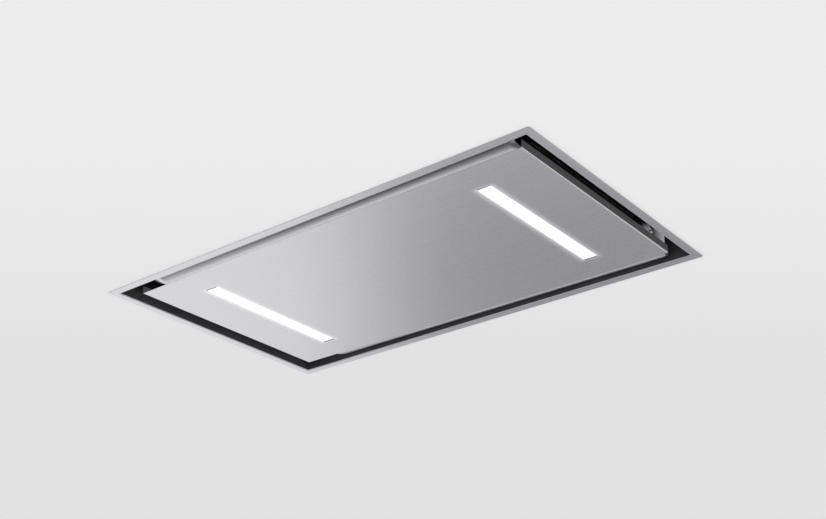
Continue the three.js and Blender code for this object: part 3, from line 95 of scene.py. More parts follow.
def pick(kind, test):
    """In edit mode, selects the faces, edges or verts whose middle passes the test."""
    bpy.ops.mesh.select_mode(type={"faces": "FACE", "edges": "EDGE", "verts": "VERT"}[kind])
    bpy.ops.mesh.select_all(action="DESELECT")
    edited = bmesh.from_edit_mesh(bpy.context.object.data)
    for part in getattr(edited, kind):
        corners = [part] if kind == "verts" else part.verts
        middle = sum((v.co for v in corners), Vector()) / len(corners)
        part.select_set(bool(test(middle)))
    bmesh.update_edit_mesh(bpy.context.object.data)


def sheet_rectangle(name, x0, x1, y0, y1, z):
    """A flat rectangle at its place, in edit mode."""
    piece = start(name, bpy.ops.mesh.primitive_plane_add, size=1,
                  location=((x0 + x1) / 2, (y0 + y1) / 2, z))
    piece.scale = (x1 - x0, y1 - y0, 1)
    bpy.ops.object.transform_apply(location=True, rotation=True, scale=True)
    bpy.ops.object.mode_set(mode="EDIT")
    return piece


cut_out = (0.88, 0.48)
ceiling_width = 8.0
ceiling_z = 0.4 * mm
ceiling = sheet_rectangle("ceiling", -cut_out[0] / 2 - ceiling_width, cut_out[0] / 2 + ceiling_width,
                          -cut_out[1] / 2 - ceiling_width, cut_out[1] / 2 + ceiling_width, ceiling_z)
bpy.ops.mesh.select_all(action="SELECT")
bpy.ops.mesh.inset(thickness=ceiling_width)
bpy.ops.mesh.delete(type="FACE")
bpy.ops.object.mode_set(mode="OBJECT")

# Matt white paint. A little of its own light keeps it as pale as in the photograph, and that
# light falls off away from the room's middle.
view_right = (0.7973, 0.6035, 0)
view_ahead = (-0.6035, 0.7973, 0)
plaster = bpy.data.materials.new("painted_plasterboard")
plaster.use_nodes = True
shader = plaster.node_tree.nodes["Principled BSDF"]
shader.inputs["Base Color"].default_value = colour("#e9e9e9")
shader.inputs["Roughness"].default_value = 0.9
shader.inputs["Specular IOR Level"].default_value = 0.1
shader.inputs["Emission Color"].default_value = colour("#ffffff")
tree = plaster.node_tree
place = add_node(tree, "TexCoord").outputs["Object"]
away = add_node(tree, "VectorMath", {1: view_ahead}, {0: place}, operation="DOT_PRODUCT")
fading = add_node(tree, "MapRange", {"From Min": -0.4, "From Max": 0.3, "To Min": 0.455, "To Max": 0.375},
                  {"Value": away.outputs["Value"]})
tree.links.new(fading.outputs["Result"], shader.inputs["Emission Strength"])
ceiling.data.materials.append(plaster)

# The surround's level goes by direction: by the angle over the horizon, in degrees, and by side,
# from one row of levels on the left of the photograph's view to another on the right.
room = bpy.data.worlds.new("room")
bpy.context.scene.world = room
room.use_nodes = True
tree = room.node_tree
direction = add_node(tree, "TexCoord").outputs["Generated"]
across = add_node(tree, "VectorMath", {1: view_right}, {0: direction}, operation="DOT_PRODUCT")
ahead = add_node(tree, "VectorMath", {1: view_ahead}, {0: direction}, operation="DOT_PRODUCT")
height = add_node(tree, "SeparateXYZ", links={0: direction}).outputs["Z"]
steep = add_node(tree, "Math", {1: 0.5}, {0: height}, operation="ADD")
steep = add_node(tree, "Math", {1: 0.0}, {0: steep.outputs[0]}, operation="MINIMUM")
beside = add_node(tree, "Math", {}, {0: across.outputs["Value"], 1: steep.outputs[0]}, operation="SUBTRACT")
side = add_node(tree, "MapRange", {"From Min": -0.145, "From Max": -0.025}, {"Value": beside.outputs[0]},
                interpolation_type="SMOOTHSTEP")
far = add_node(tree, "MapRange", {"From Min": 0.25, "From Max": 0.6}, {"Value": ahead.outputs["Value"]},
               interpolation_type="SMOOTHSTEP")
shade = add_node(tree, "Math", {}, {0: side.outputs["Result"], 1: far.outputs["Result"]},
                 operation="MULTIPLY")
radians = add_node(tree, "Math", {}, {0: height}, operation="ARCSINE")
degrees = add_node(tree, "Math", {1: 180 / math.pi}, {0: radians.outputs[0]}, operation="MULTIPLY")
lowest, highest = -90, 10
below = add_node(tree, "MapRange", {"From Min": lowest, "From Max": highest}, {"Value": degrees.outputs[0]})
left_levels = {-90: 0.7, -78: 0.45, -66: 0.06, -60: 0.03, -50: 0.04, -45: 0.09, -42: 0.22, -39: 0.48,
               -36: 0.8, -32: 1.15, -20: 1.17, -17: 0.98, -13: 0.77, 10: 0.7}
right_levels = {-90: 0.7, -78: 0.45, -66: 0.06, -60: 0.04, -51: 0.07, -48: 0.15, -45: 0.38, -42: 0.95,
                -40: 1.35, -37: 0.98, -34: 0.55, -31: 0.38, -28: 0.23, -24: 0.12, -19: 0.55, -12: 0.85,
                10: 0.7}
sky = []
for levels, blue in ((left_levels, 1.01), (right_levels, 1.05)):
    ramp = add_node(tree, "ValToRGB", links={"Fac": below.outputs["Result"]})
    stops = ramp.color_ramp.elements
    for angle, level in levels.items():
        place = (angle - lowest) / (highest - lowest)
        stop = stops.new(place) if 0 < place < 1 else stops[-int(place)]
        stop.color = (level, level, level * blue, 1)
    sky.append(ramp.outputs["Color"])
blend = add_node(tree, "Mix", {}, {"Factor": shade.outputs[0]}, data_type="RGBA")
tree.links.new(sky[0], blend.inputs["A"])
tree.links.new(sky[1], blend.inputs["B"])
tree.links.new(blend.outputs["Result"], tree.nodes["Background"].inputs["Color"])

for name, place, power in (("lamp_over_left", (-1.6, 1.2, 2.2), 26),
                           ("lamp_over_front", (1.2, -1.6, 1.8), 14)):
    lamp_data = bpy.data.lights.new(name, "AREA")
    lamp_data.size = 1.6
    lamp_data.energy = power
    lamp = bpy.data.objects.new(name, lamp_data)
    bpy.context.scene.collection.objects.link(lamp)
    lamp.location = place
    lamp.rotation_euler = (-Vector(place)).to_track_quat("-Z", "Y").to_euler()


# ---------------------------------------------------------------- trim frame
# A ring of brushed stainless steel, 16 mm wide and hemmed to 1.6 mm, which covers the edge of the
# cut-out. Its upstand goes up inside the opening and is fixed to the steel box.
def new_material(name, **values):
    """A principled material, its tree and its shader. Underscores in a value's name are spaces."""
    made = bpy.data.materials.new(name)
    made.use_nodes = True
    shader = made.node_tree.nodes["Principled BSDF"]
    for key, value in values.items():
        shader.inputs[key.replace("_", " ")].default_value = value
    return made, made.node_tree, shader


def noise_mm(tree, size, detail=2.0, roughness=0.5):
    """Noise on the object's own coordinates. size is its grain along x, y and z in mm."""
    place = add_node(tree, "TexCoord").outputs["Object"]
    scaled = add_node(tree, "Mapping", {"Scale": [1 / (s * mm) for s in size]}, {"Vector": place})
    return add_node(tree, "TexNoise", {"Scale": 1.0, "Detail": detail, "Roughness": roughness},
                    {"Vector": scaled.outputs["Vector"]}).outputs["Fac"]


def vary(tree, shader, socket, fac, low, high, span=(0.3, 0.7)):
    """Lets one input of the shader run from low to high with a pattern: numbers, or hex colours."""
    share = add_node(tree, "MapRange", {"From Min": span[0], "From Max": span[1]}, {"Value": fac})
    if isinstance(low, str):
        ramp = add_node(tree, "Mix", {"A": colour(low), "B": colour(high)}, data_type="RGBA")
        tree.links.new(share.outputs["Result"], ramp.inputs["Factor"])
        tree.links.new(ramp.outputs["Result"], shader.inputs[socket])
    else:
        share.inputs["To Min"].default_value = low
        share.inputs["To Max"].default_value = high
        tree.links.new(share.outputs["Result"], shader.inputs[socket])


def relief(tree, shader, fac, depth_mm, strength=1.0):
    """Raises the surface by the pattern, depth_mm high."""
    bump = add_node(tree, "Bump", {"Strength": strength, "Distance": depth_mm * mm}, {"Height": fac})
    tree.links.new(bump.outputs["Normal"], shader.inputs["Normal"])


def finished(piece, body, material, replaces=(), edge=0.25, angle=35):
    """Rounds the piece's edges by that many mm, gives it its finish and sets it on its body."""
    if bpy.context.object.mode == "EDIT":
        bpy.ops.mesh.select_all(action="SELECT")
        bpy.ops.mesh.remove_doubles(threshold=0.01 * mm)
        bpy.ops.mesh.normals_make_consistent(inside=False)
        bpy.ops.object.mode_set(mode="OBJECT")
    if edge:
        rounding = piece.modifiers.new("rounding", "BEVEL")
        rounding.width = edge * mm
        rounding.segments = 2
        rounding.limit_method = "ANGLE"
        rounding.angle_limit = math.radians(angle)
        bpy.ops.object.modifier_apply(modifier="rounding")
    bpy.ops.object.shade_smooth_by_angle(angle=math.radians(angle))
    if edge:
        flats = piece.modifiers.new("flats", "WEIGHTED_NORMAL")
        flats.keep_sharp = True
        bpy.ops.object.modifier_apply(modifier="flats")
    piece.data.materials.clear()
    piece.data.materials.append(material)
    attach(piece, body)
    if replaces:
        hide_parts(*replaces)
    return piece


def give_wall(piece, wall):
    """Leaves edit mode and gives an open surface a wall on the inner side of its bends."""
    bpy.ops.mesh.select_all(action="SELECT")
    bpy.ops.mesh.remove_doubles(threshold=0.01 * mm)
    bpy.ops.mesh.normals_make_consistent(inside=False)
    bpy.ops.object.mode_set(mode="OBJECT")
    sheet = piece.modifiers.new("sheet", "SOLIDIFY")
    sheet.thickness = wall
    sheet.offset = -1.0
    sheet.use_even_offset = True
    bpy.ops.object.modifier_apply(modifier="sheet")


# Brushed stainless steel: hairlines along the length, under half a millimetre apart in truth and
# drawn at about one. They are so fine that they only blur what the sheet reflects.
steel_grain = (300, 0.8, 0.8)
steel_tones = ("#d1d1d3", "#d3d3d5")
steel_roughness = (0.271, 0.281)
stainless, tree, shader = new_material("brushed_stainless_steel", Metallic=1.0, Roughness=0.3)
hairlines = noise_mm(tree, steel_grain)
vary(tree, shader, "Base Color", hairlines, *steel_tones)
vary(tree, shader, "Roughness", hairlines, *steel_roughness)

# The trim's strips are mitred, so the grain of the short ones runs along the hood's depth.
trim_low, trim_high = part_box("trim_frame")
trim_steel, tree, shader = new_material("brushed_stainless_steel_strips", Metallic=1.0, Roughness=0.3)
place = add_node(tree, "TexCoord").outputs["Object"]
spot = add_node(tree, "VectorMath", {}, {0: place}, operation="ABSOLUTE")
spot = add_node(tree, "SeparateXYZ", links={0: spot.outputs["Vector"]})
beyond = add_node(tree, "Math", {}, {0: spot.outputs["X"], 1: spot.outputs["Y"]}, operation="SUBTRACT")
short_side = add_node(tree, "Math", {1: trim_high.x - trim_high.y}, {0: beyond.outputs[0]},
                      operation="GREATER_THAN")
grain = add_node(tree, "Mix", {}, {"Factor": short_side.outputs[0], "A": noise_mm(tree, steel_grain),
                                   "B": noise_mm(tree, (0.8, 300, 0.8))}).outputs["Result"]
vary(tree, shader, "Base Color", grain, *steel_tones)
vary(tree, shader, "Roughness", grain, *steel_roughness)

# The flat ring: its outline with rounded corners is bridged to the opening's edge, thickened, then
# rounded as a hem along the outside and as a fold along the opening.
trim_face = 15.6 * mm
trim_edge = 1.6 * mm
corner_radius = 4 * mm
hem_radius = 0.6 * mm
inner_fold = 1.45 * mm
opening = Vector((trim_high.x - trim_face, trim_high.y - trim_face))
trim = sheet_rectangle("trim", trim_low.x, trim_high.x, trim_low.y, trim_high.y, trim_low.z)
bpy.ops.mesh.select_all(action="SELECT")
bpy.ops.mesh.bevel(offset=corner_radius, segments=6, affect="VERTICES")
bpy.ops.mesh.select_all(action="SELECT")
bpy.ops.mesh.delete(type="ONLY_FACE")
bpy.ops.mesh.primitive_plane_add(size=1, location=(0, 0, trim_low.z))
bpy.ops.transform.resize(value=(2 * opening.x, 2 * opening.y, 1), center_override=(0, 0, trim_low.z))
bpy.ops.mesh.delete(type="ONLY_FACE")
bpy.ops.mesh.select_all(action="SELECT")
bpy.ops.mesh.bridge_edge_loops()
bpy.ops.mesh.select_all(action="SELECT")
bpy.ops.mesh.extrude_region_move(TRANSFORM_OT_translate={"value": (0, 0, trim_edge)})
pick("edges", lambda m: abs(m.z - trim_low.z - trim_edge / 2) > 0.4 * trim_edge
     and (abs(m.x) > trim_high.x - 1.5 * mm or abs(m.y) > trim_high.y - 1.5 * mm
          or abs(m.x) + abs(m.y) > trim_high.x + trim_high.y - 3.2 * mm))
bpy.ops.mesh.bevel(offset=hem_radius, segments=4)
pick("edges", lambda m: m.z < trim_low.z + 0.1 * mm
     and (abs(abs(m.x) - opening.x) < 0.05 * mm and abs(m.y) < 0.1 * mm
          or abs(abs(m.y) - opening.y) < 0.05 * mm and abs(m.x) < 0.1 * mm))
bpy.ops.mesh.bevel(offset=inner_fold, segments=6)
bpy.ops.object.mode_set(mode="OBJECT")

# The upstand, a wall all round that starts inside the ring's thickness.
upstand_out = Vector((0.4354, 0.2354))
upstand_wall = 1.0 * mm
upstand_foot = -0.2 * mm
sheet_rectangle("upstand", -upstand_out.x, upstand_out.x, -upstand_out.y, upstand_out.y, upstand_foot)
bpy.ops.mesh.select_all(action="SELECT")
bpy.ops.mesh.inset(thickness=upstand_wall)
bpy.ops.mesh.delete(type="FACE")
bpy.ops.mesh.select_all(action="SELECT")
bpy.ops.mesh.extrude_region_move(TRANSFORM_OT_translate={"value": (0, 0, trim_high.z - upstand_foot)})
bpy.ops.mesh.select_all(action="SELECT")
bpy.ops.mesh.normals_make_consistent(inside=False)
bpy.ops.object.mode_set(mode="OBJECT")
trim.select_set(True)
bpy.context.view_layer.objects.active = trim
bpy.ops.object.join()
bpy.ops.object.mode_set(mode="EDIT")
finished(trim, "body", trim_steel, ["trim_frame"], edge=0.35)


# ---------------------------------------------------------------- recess and filter deck
# Sheet-steel walls round the recess and the deck over it, powder coated matt black so that they
# vanish behind the gap. The wall is spot-welded, and small black screws hold the deck.
black_coat, tree, shader = new_material("black_powder_coat", Roughness=0.6)
orange_peel = noise_mm(tree, (1.4, 1.4, 1.4), detail=2.0)
dust = noise_mm(tree, (70, 70, 30), detail=4.0)
vary(tree, shader, "Base Color", dust, "#3e3e40", "#49494b")
vary(tree, shader, "Roughness", dust, 0.5, 0.68)
relief(tree, shader, orange_peel, 0.03, 0.4)


def dress(material, *names):
    """A CAD node whose shape is right keeps it, under its own finish."""
    for name in names:
        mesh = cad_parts[name].data
        mesh.materials.clear()
        mesh.materials.append(material)


dress(black_coat, "recess_skirt", "filter_deck")


def screws(name, places, body, material, head=3.2, up=(0, 0, 1)):
    """Pan-head screws with a cross recess, one modelled and the rest copied, joined in one piece.
    up is the way the heads point and places are the points that they sit on."""
    radius = head * mm
    first = start(name, bpy.ops.mesh.primitive_cylinder_add, vertices=24, radius=radius,
                  depth=radius * 0.75, location=(0, 0, radius * 0.375))
    bpy.ops.object.transform_apply(location=True, rotation=True, scale=True)
    bpy.ops.object.mode_set(mode="EDIT")
    pick("edges", lambda m: m.z > radius * 0.7 and m.xy.length > radius * 0.9)
    bpy.ops.mesh.bevel(offset=radius * 0.42, segments=4)
    bpy.ops.object.mode_set(mode="OBJECT")
    for turn in (0, math.pi / 2):
        blade = start("blade", bpy.ops.mesh.primitive_cube_add, size=1, location=(0, 0, radius * 0.75),
                      rotation=(0, 0, turn))
        blade.scale = (radius * 1.05, radius * 0.26, radius * 0.7)
        cutter = first.modifiers.new("recess", "BOOLEAN")
        cutter.object = blade
        cutter.operation = "DIFFERENCE"
        bpy.context.view_layer.objects.active = first
        bpy.ops.object.modifier_apply(modifier="recess")
        bpy.data.objects.remove(blade)
    turn = Vector((0, 0, 1)).rotation_difference(Vector(up)).to_matrix().to_4x4()
    copies = []
    for i, place in enumerate(places):
        copy = first.copy()
        copy.data = first.data.copy()
        bpy.context.scene.collection.objects.link(copy)
        copy.matrix_world = turn
        copy.location = place
        copy.rotation_euler.rotate_axis("Z", 0.7 * i)
        copies.append(copy)
    bpy.data.objects.remove(first)
    bpy.ops.object.select_all(action="DESELECT")
    for copy in copies:
        copy.select_set(True)
    bpy.context.view_layer.objects.active = copies[0]
    bpy.ops.object.join()
    piece = bpy.context.object
    piece.name = piece.data.name = name
    bpy.ops.object.transform_apply(location=True, rotation=True, scale=True)
    return finished(piece, body, material, edge=0)


deck_low, deck_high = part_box("filter_deck")
deck_screw_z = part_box("recess_skirt")[1].z - 0.8 * mm
deck_places = [(x, y, deck_screw_z) for x in (-0.3, -0.1, 0.1, 0.3)
               for y in (deck_low.y + 7 * mm, deck_high.y - 7 * mm)]
screws("deck_screws", deck_places, "body", black_coat, head=2.2, up=(0, 0, -1))


# ---------------------------------------------------------------- steel box
# The body that hangs in the cut-out: one sheet folded over the long sides, two end plates and
# four hanger brackets for threaded rods, all in hot-dip galvanised steel with its frozen spangle.
galvanised, tree, shader = new_material("galvanised_steel", Metallic=1.0, Roughness=0.45)
place = add_node(tree, "TexCoord").outputs["Object"]
bent = add_node(tree, "Mix", {"Factor": 0.004}, data_type="VECTOR")
wander = add_node(tree, "TexNoise", {"Scale": 90.0, "Detail": 2.0}, {"Vector": place})
tree.links.new(place, bent.inputs["A"])
tree.links.new(wander.outputs["Color"], bent.inputs["B"])
spangle = add_node(tree, "TexVoronoi", {"Scale": 1 / (11 * mm), "Randomness": 1.0},
                   {"Vector": bent.outputs["Result"]})
flower = add_node(tree, "SeparateColor", links={"Color": spangle.outputs["Color"]}).outputs["Red"]
vary(tree, shader, "Base Color", flower, "#a9adb0", "#c0c3c5", span=(0.0, 1.0))
vary(tree, shader, "Roughness", flower, 0.36, 0.56, span=(0.0, 1.0))
relief(tree, shader, flower, 0.02, 0.3)
dress(galvanised, "chassis_shell", "chassis_end_left", "chassis_end_right")


def soften(name, body, material, edge=0.3, angle=35):
    """The CAD node's own shape with its facets merged, its edges rounded and its curves smooth."""
    bpy.ops.object.select_all(action="DESELECT")
    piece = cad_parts[name].copy()
    piece.data = piece.data.copy()
    for key in list(piece.keys()):
        del piece[key]
    piece.parent = None
    bpy.context.scene.collection.objects.link(piece)
    piece.name = piece.data.name = name + "_finished"
    piece.select_set(True)
    bpy.context.view_layer.objects.active = piece
    bpy.ops.object.mode_set(mode="EDIT")
    bpy.ops.mesh.select_all(action="SELECT")
    bpy.ops.mesh.remove_doubles(threshold=0.005 * mm)
    bpy.ops.mesh.dissolve_limited(angle_limit=math.radians(0.5))
    bpy.ops.object.mode_set(mode="OBJECT")
    return finished(piece, body, material, [name], edge, angle)


foot_sheet = 2.0 * mm
foot_places = []
for name in ("hanger_front_left", "hanger_front_right", "hanger_rear_left", "hanger_rear_right"):
    soften(name, "body", galvanised)
    low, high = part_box(name)
    foot_y = high.y - 11 * mm if high.y > 0 else low.y + 11 * mm
    for dx in (-12 * mm, 12 * mm):
        foot_places.append(((low.x + high.x) / 2 + dx, foot_y, low.z + foot_sheet))

zinc_plate, tree, shader = new_material("zinc_plated_steel", Metallic=1.0, Roughness=0.35)
cloudy = noise_mm(tree, (9, 9, 9), detail=4.0)
vary(tree, shader, "Base Color", cloudy, "#b3b3ad", "#c9c8c0")
vary(tree, shader, "Roughness", cloudy, 0.28, 0.42)
relief(tree, shader, noise_mm(tree, (1.2, 1.2, 1.2)), 0.01, 0.3)
screws("hanger_screws", foot_places, "body", zinc_plate)
head_sunk = 0.1 * mm
end_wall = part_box("chassis_shell")[1].x - head_sunk
for side, tag in ((-1, "left"), (1, "right")):
    end_places = [(side * end_wall, y, z) for y in (-0.19, -0.065, 0.065, 0.19) for z in (0.030, 0.084)]
    screws("end_screws_" + tag, end_places, "body", zinc_plate, up=(side, 0, 0))


# ---------------------------------------------------------------- grease filters
# Two cassettes: a rolled aluminium channel round layers of expanded aluminium mesh. The front
# one of the layers is drawn as its diamonds, 10 x 7 mm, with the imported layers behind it.
mill_aluminium, tree, shader = new_material("mill_finish_aluminium", Metallic=1.0, Roughness=0.4)
rolled = noise_mm(tree, (60, 1.4, 1.4), detail=2.0)
vary(tree, shader, "Base Color", rolled, "#c6c7c9", "#d3d4d5")
vary(tree, shader, "Roughness", rolled, 0.34, 0.46)
relief(tree, shader, rolled, 0.01, 0.3)

# Behind the lattice the packed layers run from dark to pale in a fine pattern: the pale is the aluminium, the
# dark is painted shade in the depth between the layers.
mesh_pack, tree, shader = new_material("packed_aluminium_mesh", Metallic=1.0, Roughness=0.5)
layers = noise_mm(tree, (2.2, 2.2, 2.2), detail=5.0, roughness=0.7)
vary(tree, shader, "Base Color", layers, "#3c3d3f", "#b9bbbd")
vary(tree, shader, "Roughness", layers, 0.4, 0.7)
relief(tree, shader, layers, 0.8, 0.8)
dress(mesh_pack, "filter_mesh_left", "filter_mesh_right")

diamond = Vector((10 * mm, 7 * mm))
strand = 0.9 * mm
bar = 12 * mm
rear_tongue = 6 * mm
latch_depth = 54 * mm
latch_clearance = (2 * mm, 1.5 * mm)
for tag in ("left", "right"):
    soften("filter_frame_" + tag, "body", mill_aluminium)
    low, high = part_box("filter_frame_" + tag)
    pack_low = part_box("filter_mesh_" + tag)[0].z
    rear = high.y - rear_tongue
    window = Vector((high.x - low.x - 2 * bar, rear - low.y - 2 * bar))
    counts = [round(window.x / diamond.x), round(window.y / diamond.y)]
    lattice = start("filter_lattice_" + tag, bpy.ops.mesh.primitive_grid_add, x_subdivisions=counts[0],
                    y_subdivisions=counts[1], size=1,
                    location=((low.x + high.x) / 2, (low.y + rear) / 2, pack_low - 0.55 * mm))
    lattice.scale = (window.x, window.y, 1)
    bpy.ops.object.transform_apply(location=True, rotation=True, scale=True)
    bpy.ops.object.mode_set(mode="EDIT")
    bpy.ops.mesh.select_all(action="SELECT")
    bpy.ops.mesh.poke()
    bpy.ops.mesh.select_mode(type="EDGE")
    bpy.ops.mesh.select_all(action="DESELECT")
    edited = bmesh.from_edit_mesh(lattice.data)
    for e in edited.edges:
        along = e.verts[0].co - e.verts[1].co
        straight = abs(along.x) < 0.01 * mm or abs(along.y) < 0.01 * mm
        e.select_set(straight and not e.is_boundary)
    bmesh.update_edit_mesh(lattice.data)
    bpy.ops.mesh.dissolve_edges(use_verts=False)
    bpy.ops.object.mode_set(mode="OBJECT")
    wires = lattice.modifiers.new("wires", "WIREFRAME")
    wires.thickness = strand
    wires.use_even_offset = False
    bpy.ops.object.modifier_apply(modifier="wires")
    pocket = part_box("filter_latch_" + tag)
    room_for_latch = start("room", bpy.ops.mesh.primitive_cube_add, size=1,
                           location=((pocket[0].x + pocket[1].x) / 2, low.y, pack_low))
    room_for_latch.scale = (pocket[1].x - pocket[0].x + 2 * latch_clearance[0],
                            2 * (latch_depth + latch_clearance[1]), 20 * mm)
    cutter = lattice.modifiers.new("latch_room", "BOOLEAN")
    cutter.object = room_for_latch
    cutter.operation = "DIFFERENCE"
    cutter.solver = "FAST"
    bpy.context.view_layer.objects.active = lattice
    bpy.ops.object.modifier_apply(modifier="latch_room")
    bpy.data.objects.remove(room_for_latch)
    lattice.select_set(True)
    finished(lattice, "body", mill_aluminium, edge=0)


# ---------------------------------------------------------------- latches
# Grey ABS slides with a finger scoop, moulded with a fine spark-eroded grain.
grey_abs, tree, shader = new_material("grey_moulded_abs", Roughness=0.5)
spark = noise_mm(tree, (0.9, 0.9, 0.9), detail=3.0)
flow = noise_mm(tree, (45, 45, 45), detail=1.0)
vary(tree, shader, "Base Color", flow, "#85888b", "#8e9194")
vary(tree, shader, "Roughness", spark, 0.44, 0.58)
relief(tree, shader, spark, 0.03, 0.5)
soften("filter_latch_left", "left_latch", grey_abs, edge=0.5)
soften("filter_latch_right", "right_latch", grey_abs, edge=0.5)


# ---------------------------------------------------------------- suction panel
# The flat stainless face: one sheet, its two short sides folded up, with a slot for each lamp.
# The long sides carry separate curved lips that lead the air round into the gap.
face_low, face_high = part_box("panel_face")
face_sheet = 1.0 * mm
lamp_boxes = [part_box("diffuser_left"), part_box("diffuser_right")]
lens_rim = 3.0 * mm
slot_side = 1.5 * mm
slot_end = 5.0 * mm
end_fold = 2.2 * mm
panel =sheet_rectangle("panel", face_low.x, face_high.x, face_low.y, face_high.y, face_low.z)
slots = []
for low, high in lamp_boxes:
    edges = (low.x + lens_rim - slot_side, high.x - lens_rim + slot_side,
             low.y + lens_rim - slot_end, high.y - lens_rim + slot_end)
    slots.append(edges)
    for x in edges[:2]:
        bpy.ops.mesh.select_all(action="SELECT")
        bpy.ops.mesh.bisect(plane_co=(x, 0, face_low.z), plane_no=(1, 0, 0))
for y in slots[0][2:]:
    bpy.ops.mesh.select_all(action="SELECT")
    bpy.ops.mesh.bisect(plane_co=(0, y, face_low.z), plane_no=(0, 1, 0))
pick("faces", lambda m: any(s[0] < m.x < s[1] and s[2] < m.y < s[3] for s in slots))
bpy.ops.mesh.delete(type="FACE")
pick("edges", lambda m: abs(m.x) > face_high.x - 0.1 * mm)
bpy.ops.mesh.extrude_region_move(TRANSFORM_OT_translate={"value": (0, 0, face_high.z - face_low.z)})
pick("edges", lambda m: abs(m.x) > face_high.x - 0.1 * mm and m.z < face_low.z + 0.1 * mm)
bpy.ops.mesh.bevel(offset=end_fold, segments=6)
give_wall(panel, face_sheet)

# The same steel with painted light: a painted glow for the lamps' light spilling over the edges of the slots
# and fading in 14 mm, and a fainter painted glow on the ends that are turned up, for the room's light that
# they catch.
spill_reach = 14 * mm
spill = 0.30
end_light = 0.055
lamp_x = (lamp_boxes[1][0].x + lamp_boxes[1][1].x) / 2
lit_end = lamp_boxes[1][1].y - lens_rim
any_height = 10
lit_half = (slots[1][1] - lamp_x, lit_end, any_height)
glow_painted_steel = stainless.copy()
glow_painted_steel.name = "brushed_stainless_steel_with_painted_glow"
tree = glow_painted_steel.node_tree
shader = tree.nodes["Principled BSDF"]
spot = add_node(tree, "TexCoord").outputs["Object"]
for values, operation in (({}, "ABSOLUTE"), ({1: (lamp_x, 0, 0)}, "SUBTRACT"), ({}, "ABSOLUTE"),
                          ({1: lit_half}, "SUBTRACT"), ({1: (0, 0, 0)}, "MAXIMUM")):
    spot = add_node(tree, "VectorMath", values, {0: spot}, operation=operation).outputs["Vector"]
off = add_node(tree, "VectorMath", {}, {0: spot}, operation="LENGTH")
near = add_node(tree, "MapRange", {"From Max": spill_reach, "To Min": 1.0, "To Max": 0.0},
                {"Value": off.outputs["Value"]})
fade = add_node(tree, "Math", {1: 2.0}, {0: near.outputs["Result"]}, operation="POWER")
facing = add_node(tree, "SeparateXYZ", links={0: add_node(tree, "NewGeometry").outputs["Normal"]})
on_end = add_node(tree, "Math", {}, {0: facing.outputs["X"]}, operation="ABSOLUTE")
end_glow = add_node(tree, "Math", {1: end_light}, {0: on_end.outputs[0]}, operation="MULTIPLY")
tree.links.new(add_node(tree, "Math", {1: spill}, {0: fade.outputs[0], 2: end_glow.outputs[0]},
                        operation="MULTIPLY_ADD").outputs[0], shader.inputs["Emission Strength"])
shader.inputs["Emission Color"].default_value = colour("#fdfdff")
finished(panel, "panel", glow_painted_steel, ["panel_face"], edge=0.15)

# Each lip: a flat leg behind the face, a step down past its edge to be level with it, a wide arc
# that starts at 3 degrees, and a tight one that turns it up into a short edge. Past the leg both
# ends curl up softly: 26 mm of it on the left, and a shorter, lower piece on the right that
# reaches close to the panel's corner. A tip is the place where a curl ends, and its rise there.
lip_leg = 15 * mm
lip_step = 1.3 * mm
seam = 0.3 * mm
slope = math.radians(3)
wide_turn = math.radians(14)
wide_radius = 65 * mm
tight_radius = 5 * mm
lip_sheet = 1.0 * mm
curl_left = 26 * mm
rear_tips = ((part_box("air_lip_rear")[0].x, 5 * mm), (face_high.x - 9 * mm, 2 * mm))
front_tips = ((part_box("air_lip_front")[0].x, 8 * mm), (face_high.x - 1.2 * mm, 2 * mm))
edge_y = face_high.y + seam
steps = 8
for tag, side, (left_tip, right_tip) in (("rear", 1, rear_tips), ("front", -1, front_tips)):
    low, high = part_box("air_lip_" + tag)
    lip = sheet_rectangle("lip_" + tag, low.x + curl_left, high.x, face_high.y - lip_leg, edge_y,
                          low.z + lip_step)
    pick("edges", lambda m: m.y > edge_y - 0.1 * mm)
    bpy.ops.mesh.extrude_region_move(TRANSFORM_OT_translate={"value": (0, 0, -lip_step)})
    wide_centre = Vector((0, edge_y, low.z)) + wide_radius * Vector((0, -math.sin(slope), math.cos(slope)))
    bpy.ops.mesh.spin(steps=12, angle=-wide_turn, center=wide_centre, axis=(1, 0, 0))
    steep = slope + wide_turn
    tight_centre = wide_centre + (wide_radius - tight_radius) * Vector((0, math.sin(steep), -math.cos(steep)))
    bpy.ops.mesh.spin(steps=12, angle=steep - math.pi / 2, center=tight_centre, axis=(1, 0, 0))
    bpy.ops.mesh.extrude_region_move(TRANSFORM_OT_translate={"value": (0, 0, high.z - tight_centre.z)})
    for end, (tip, rise) in ((low.x + curl_left, left_tip), (high.x, right_tip)):
        pick("edges", lambda m: abs(m.x - end) < 0.1 * mm and m.y > edge_y + 0.01 * mm)
        for i in range(steps):
            step = ((tip - end) / steps, 0, rise * (2 * i + 1) / steps ** 2)
            bpy.ops.mesh.extrude_region_move(TRANSFORM_OT_translate={"value": step})
    if side < 0:
        bpy.ops.mesh.select_all(action="SELECT")
        bpy.ops.transform.resize(value=(1, -1, 1), center_override=(0, 0, 0))
    give_wall(lip, lip_sheet)
    finished(lip, "panel", stainless, ["air_lip_" + tag], edge=0.15)


# ---------------------------------------------------------------- panel tray and lamps
# A galvanised pan stiffens the face. A black housing stands over each slot, with a board of
# light-emitting diodes under its roof and an opal acrylic lens that glows evenly when lit.
dress(galvanised, "panel_tray")
black_abs, tree, shader = new_material("black_moulded_abs", Roughness=0.5)
grit = noise_mm(tree, (0.8, 0.8, 0.8), detail=3.0)
vary(tree, shader, "Base Color", noise_mm(tree, (50, 50, 50)), "#232425", "#2b2c2d")
vary(tree, shader, "Roughness", grit, 0.45, 0.6)
relief(tree, shader, grit, 0.03, 0.5)
dress(black_abs, "lamp_housing_left", "lamp_housing_right")

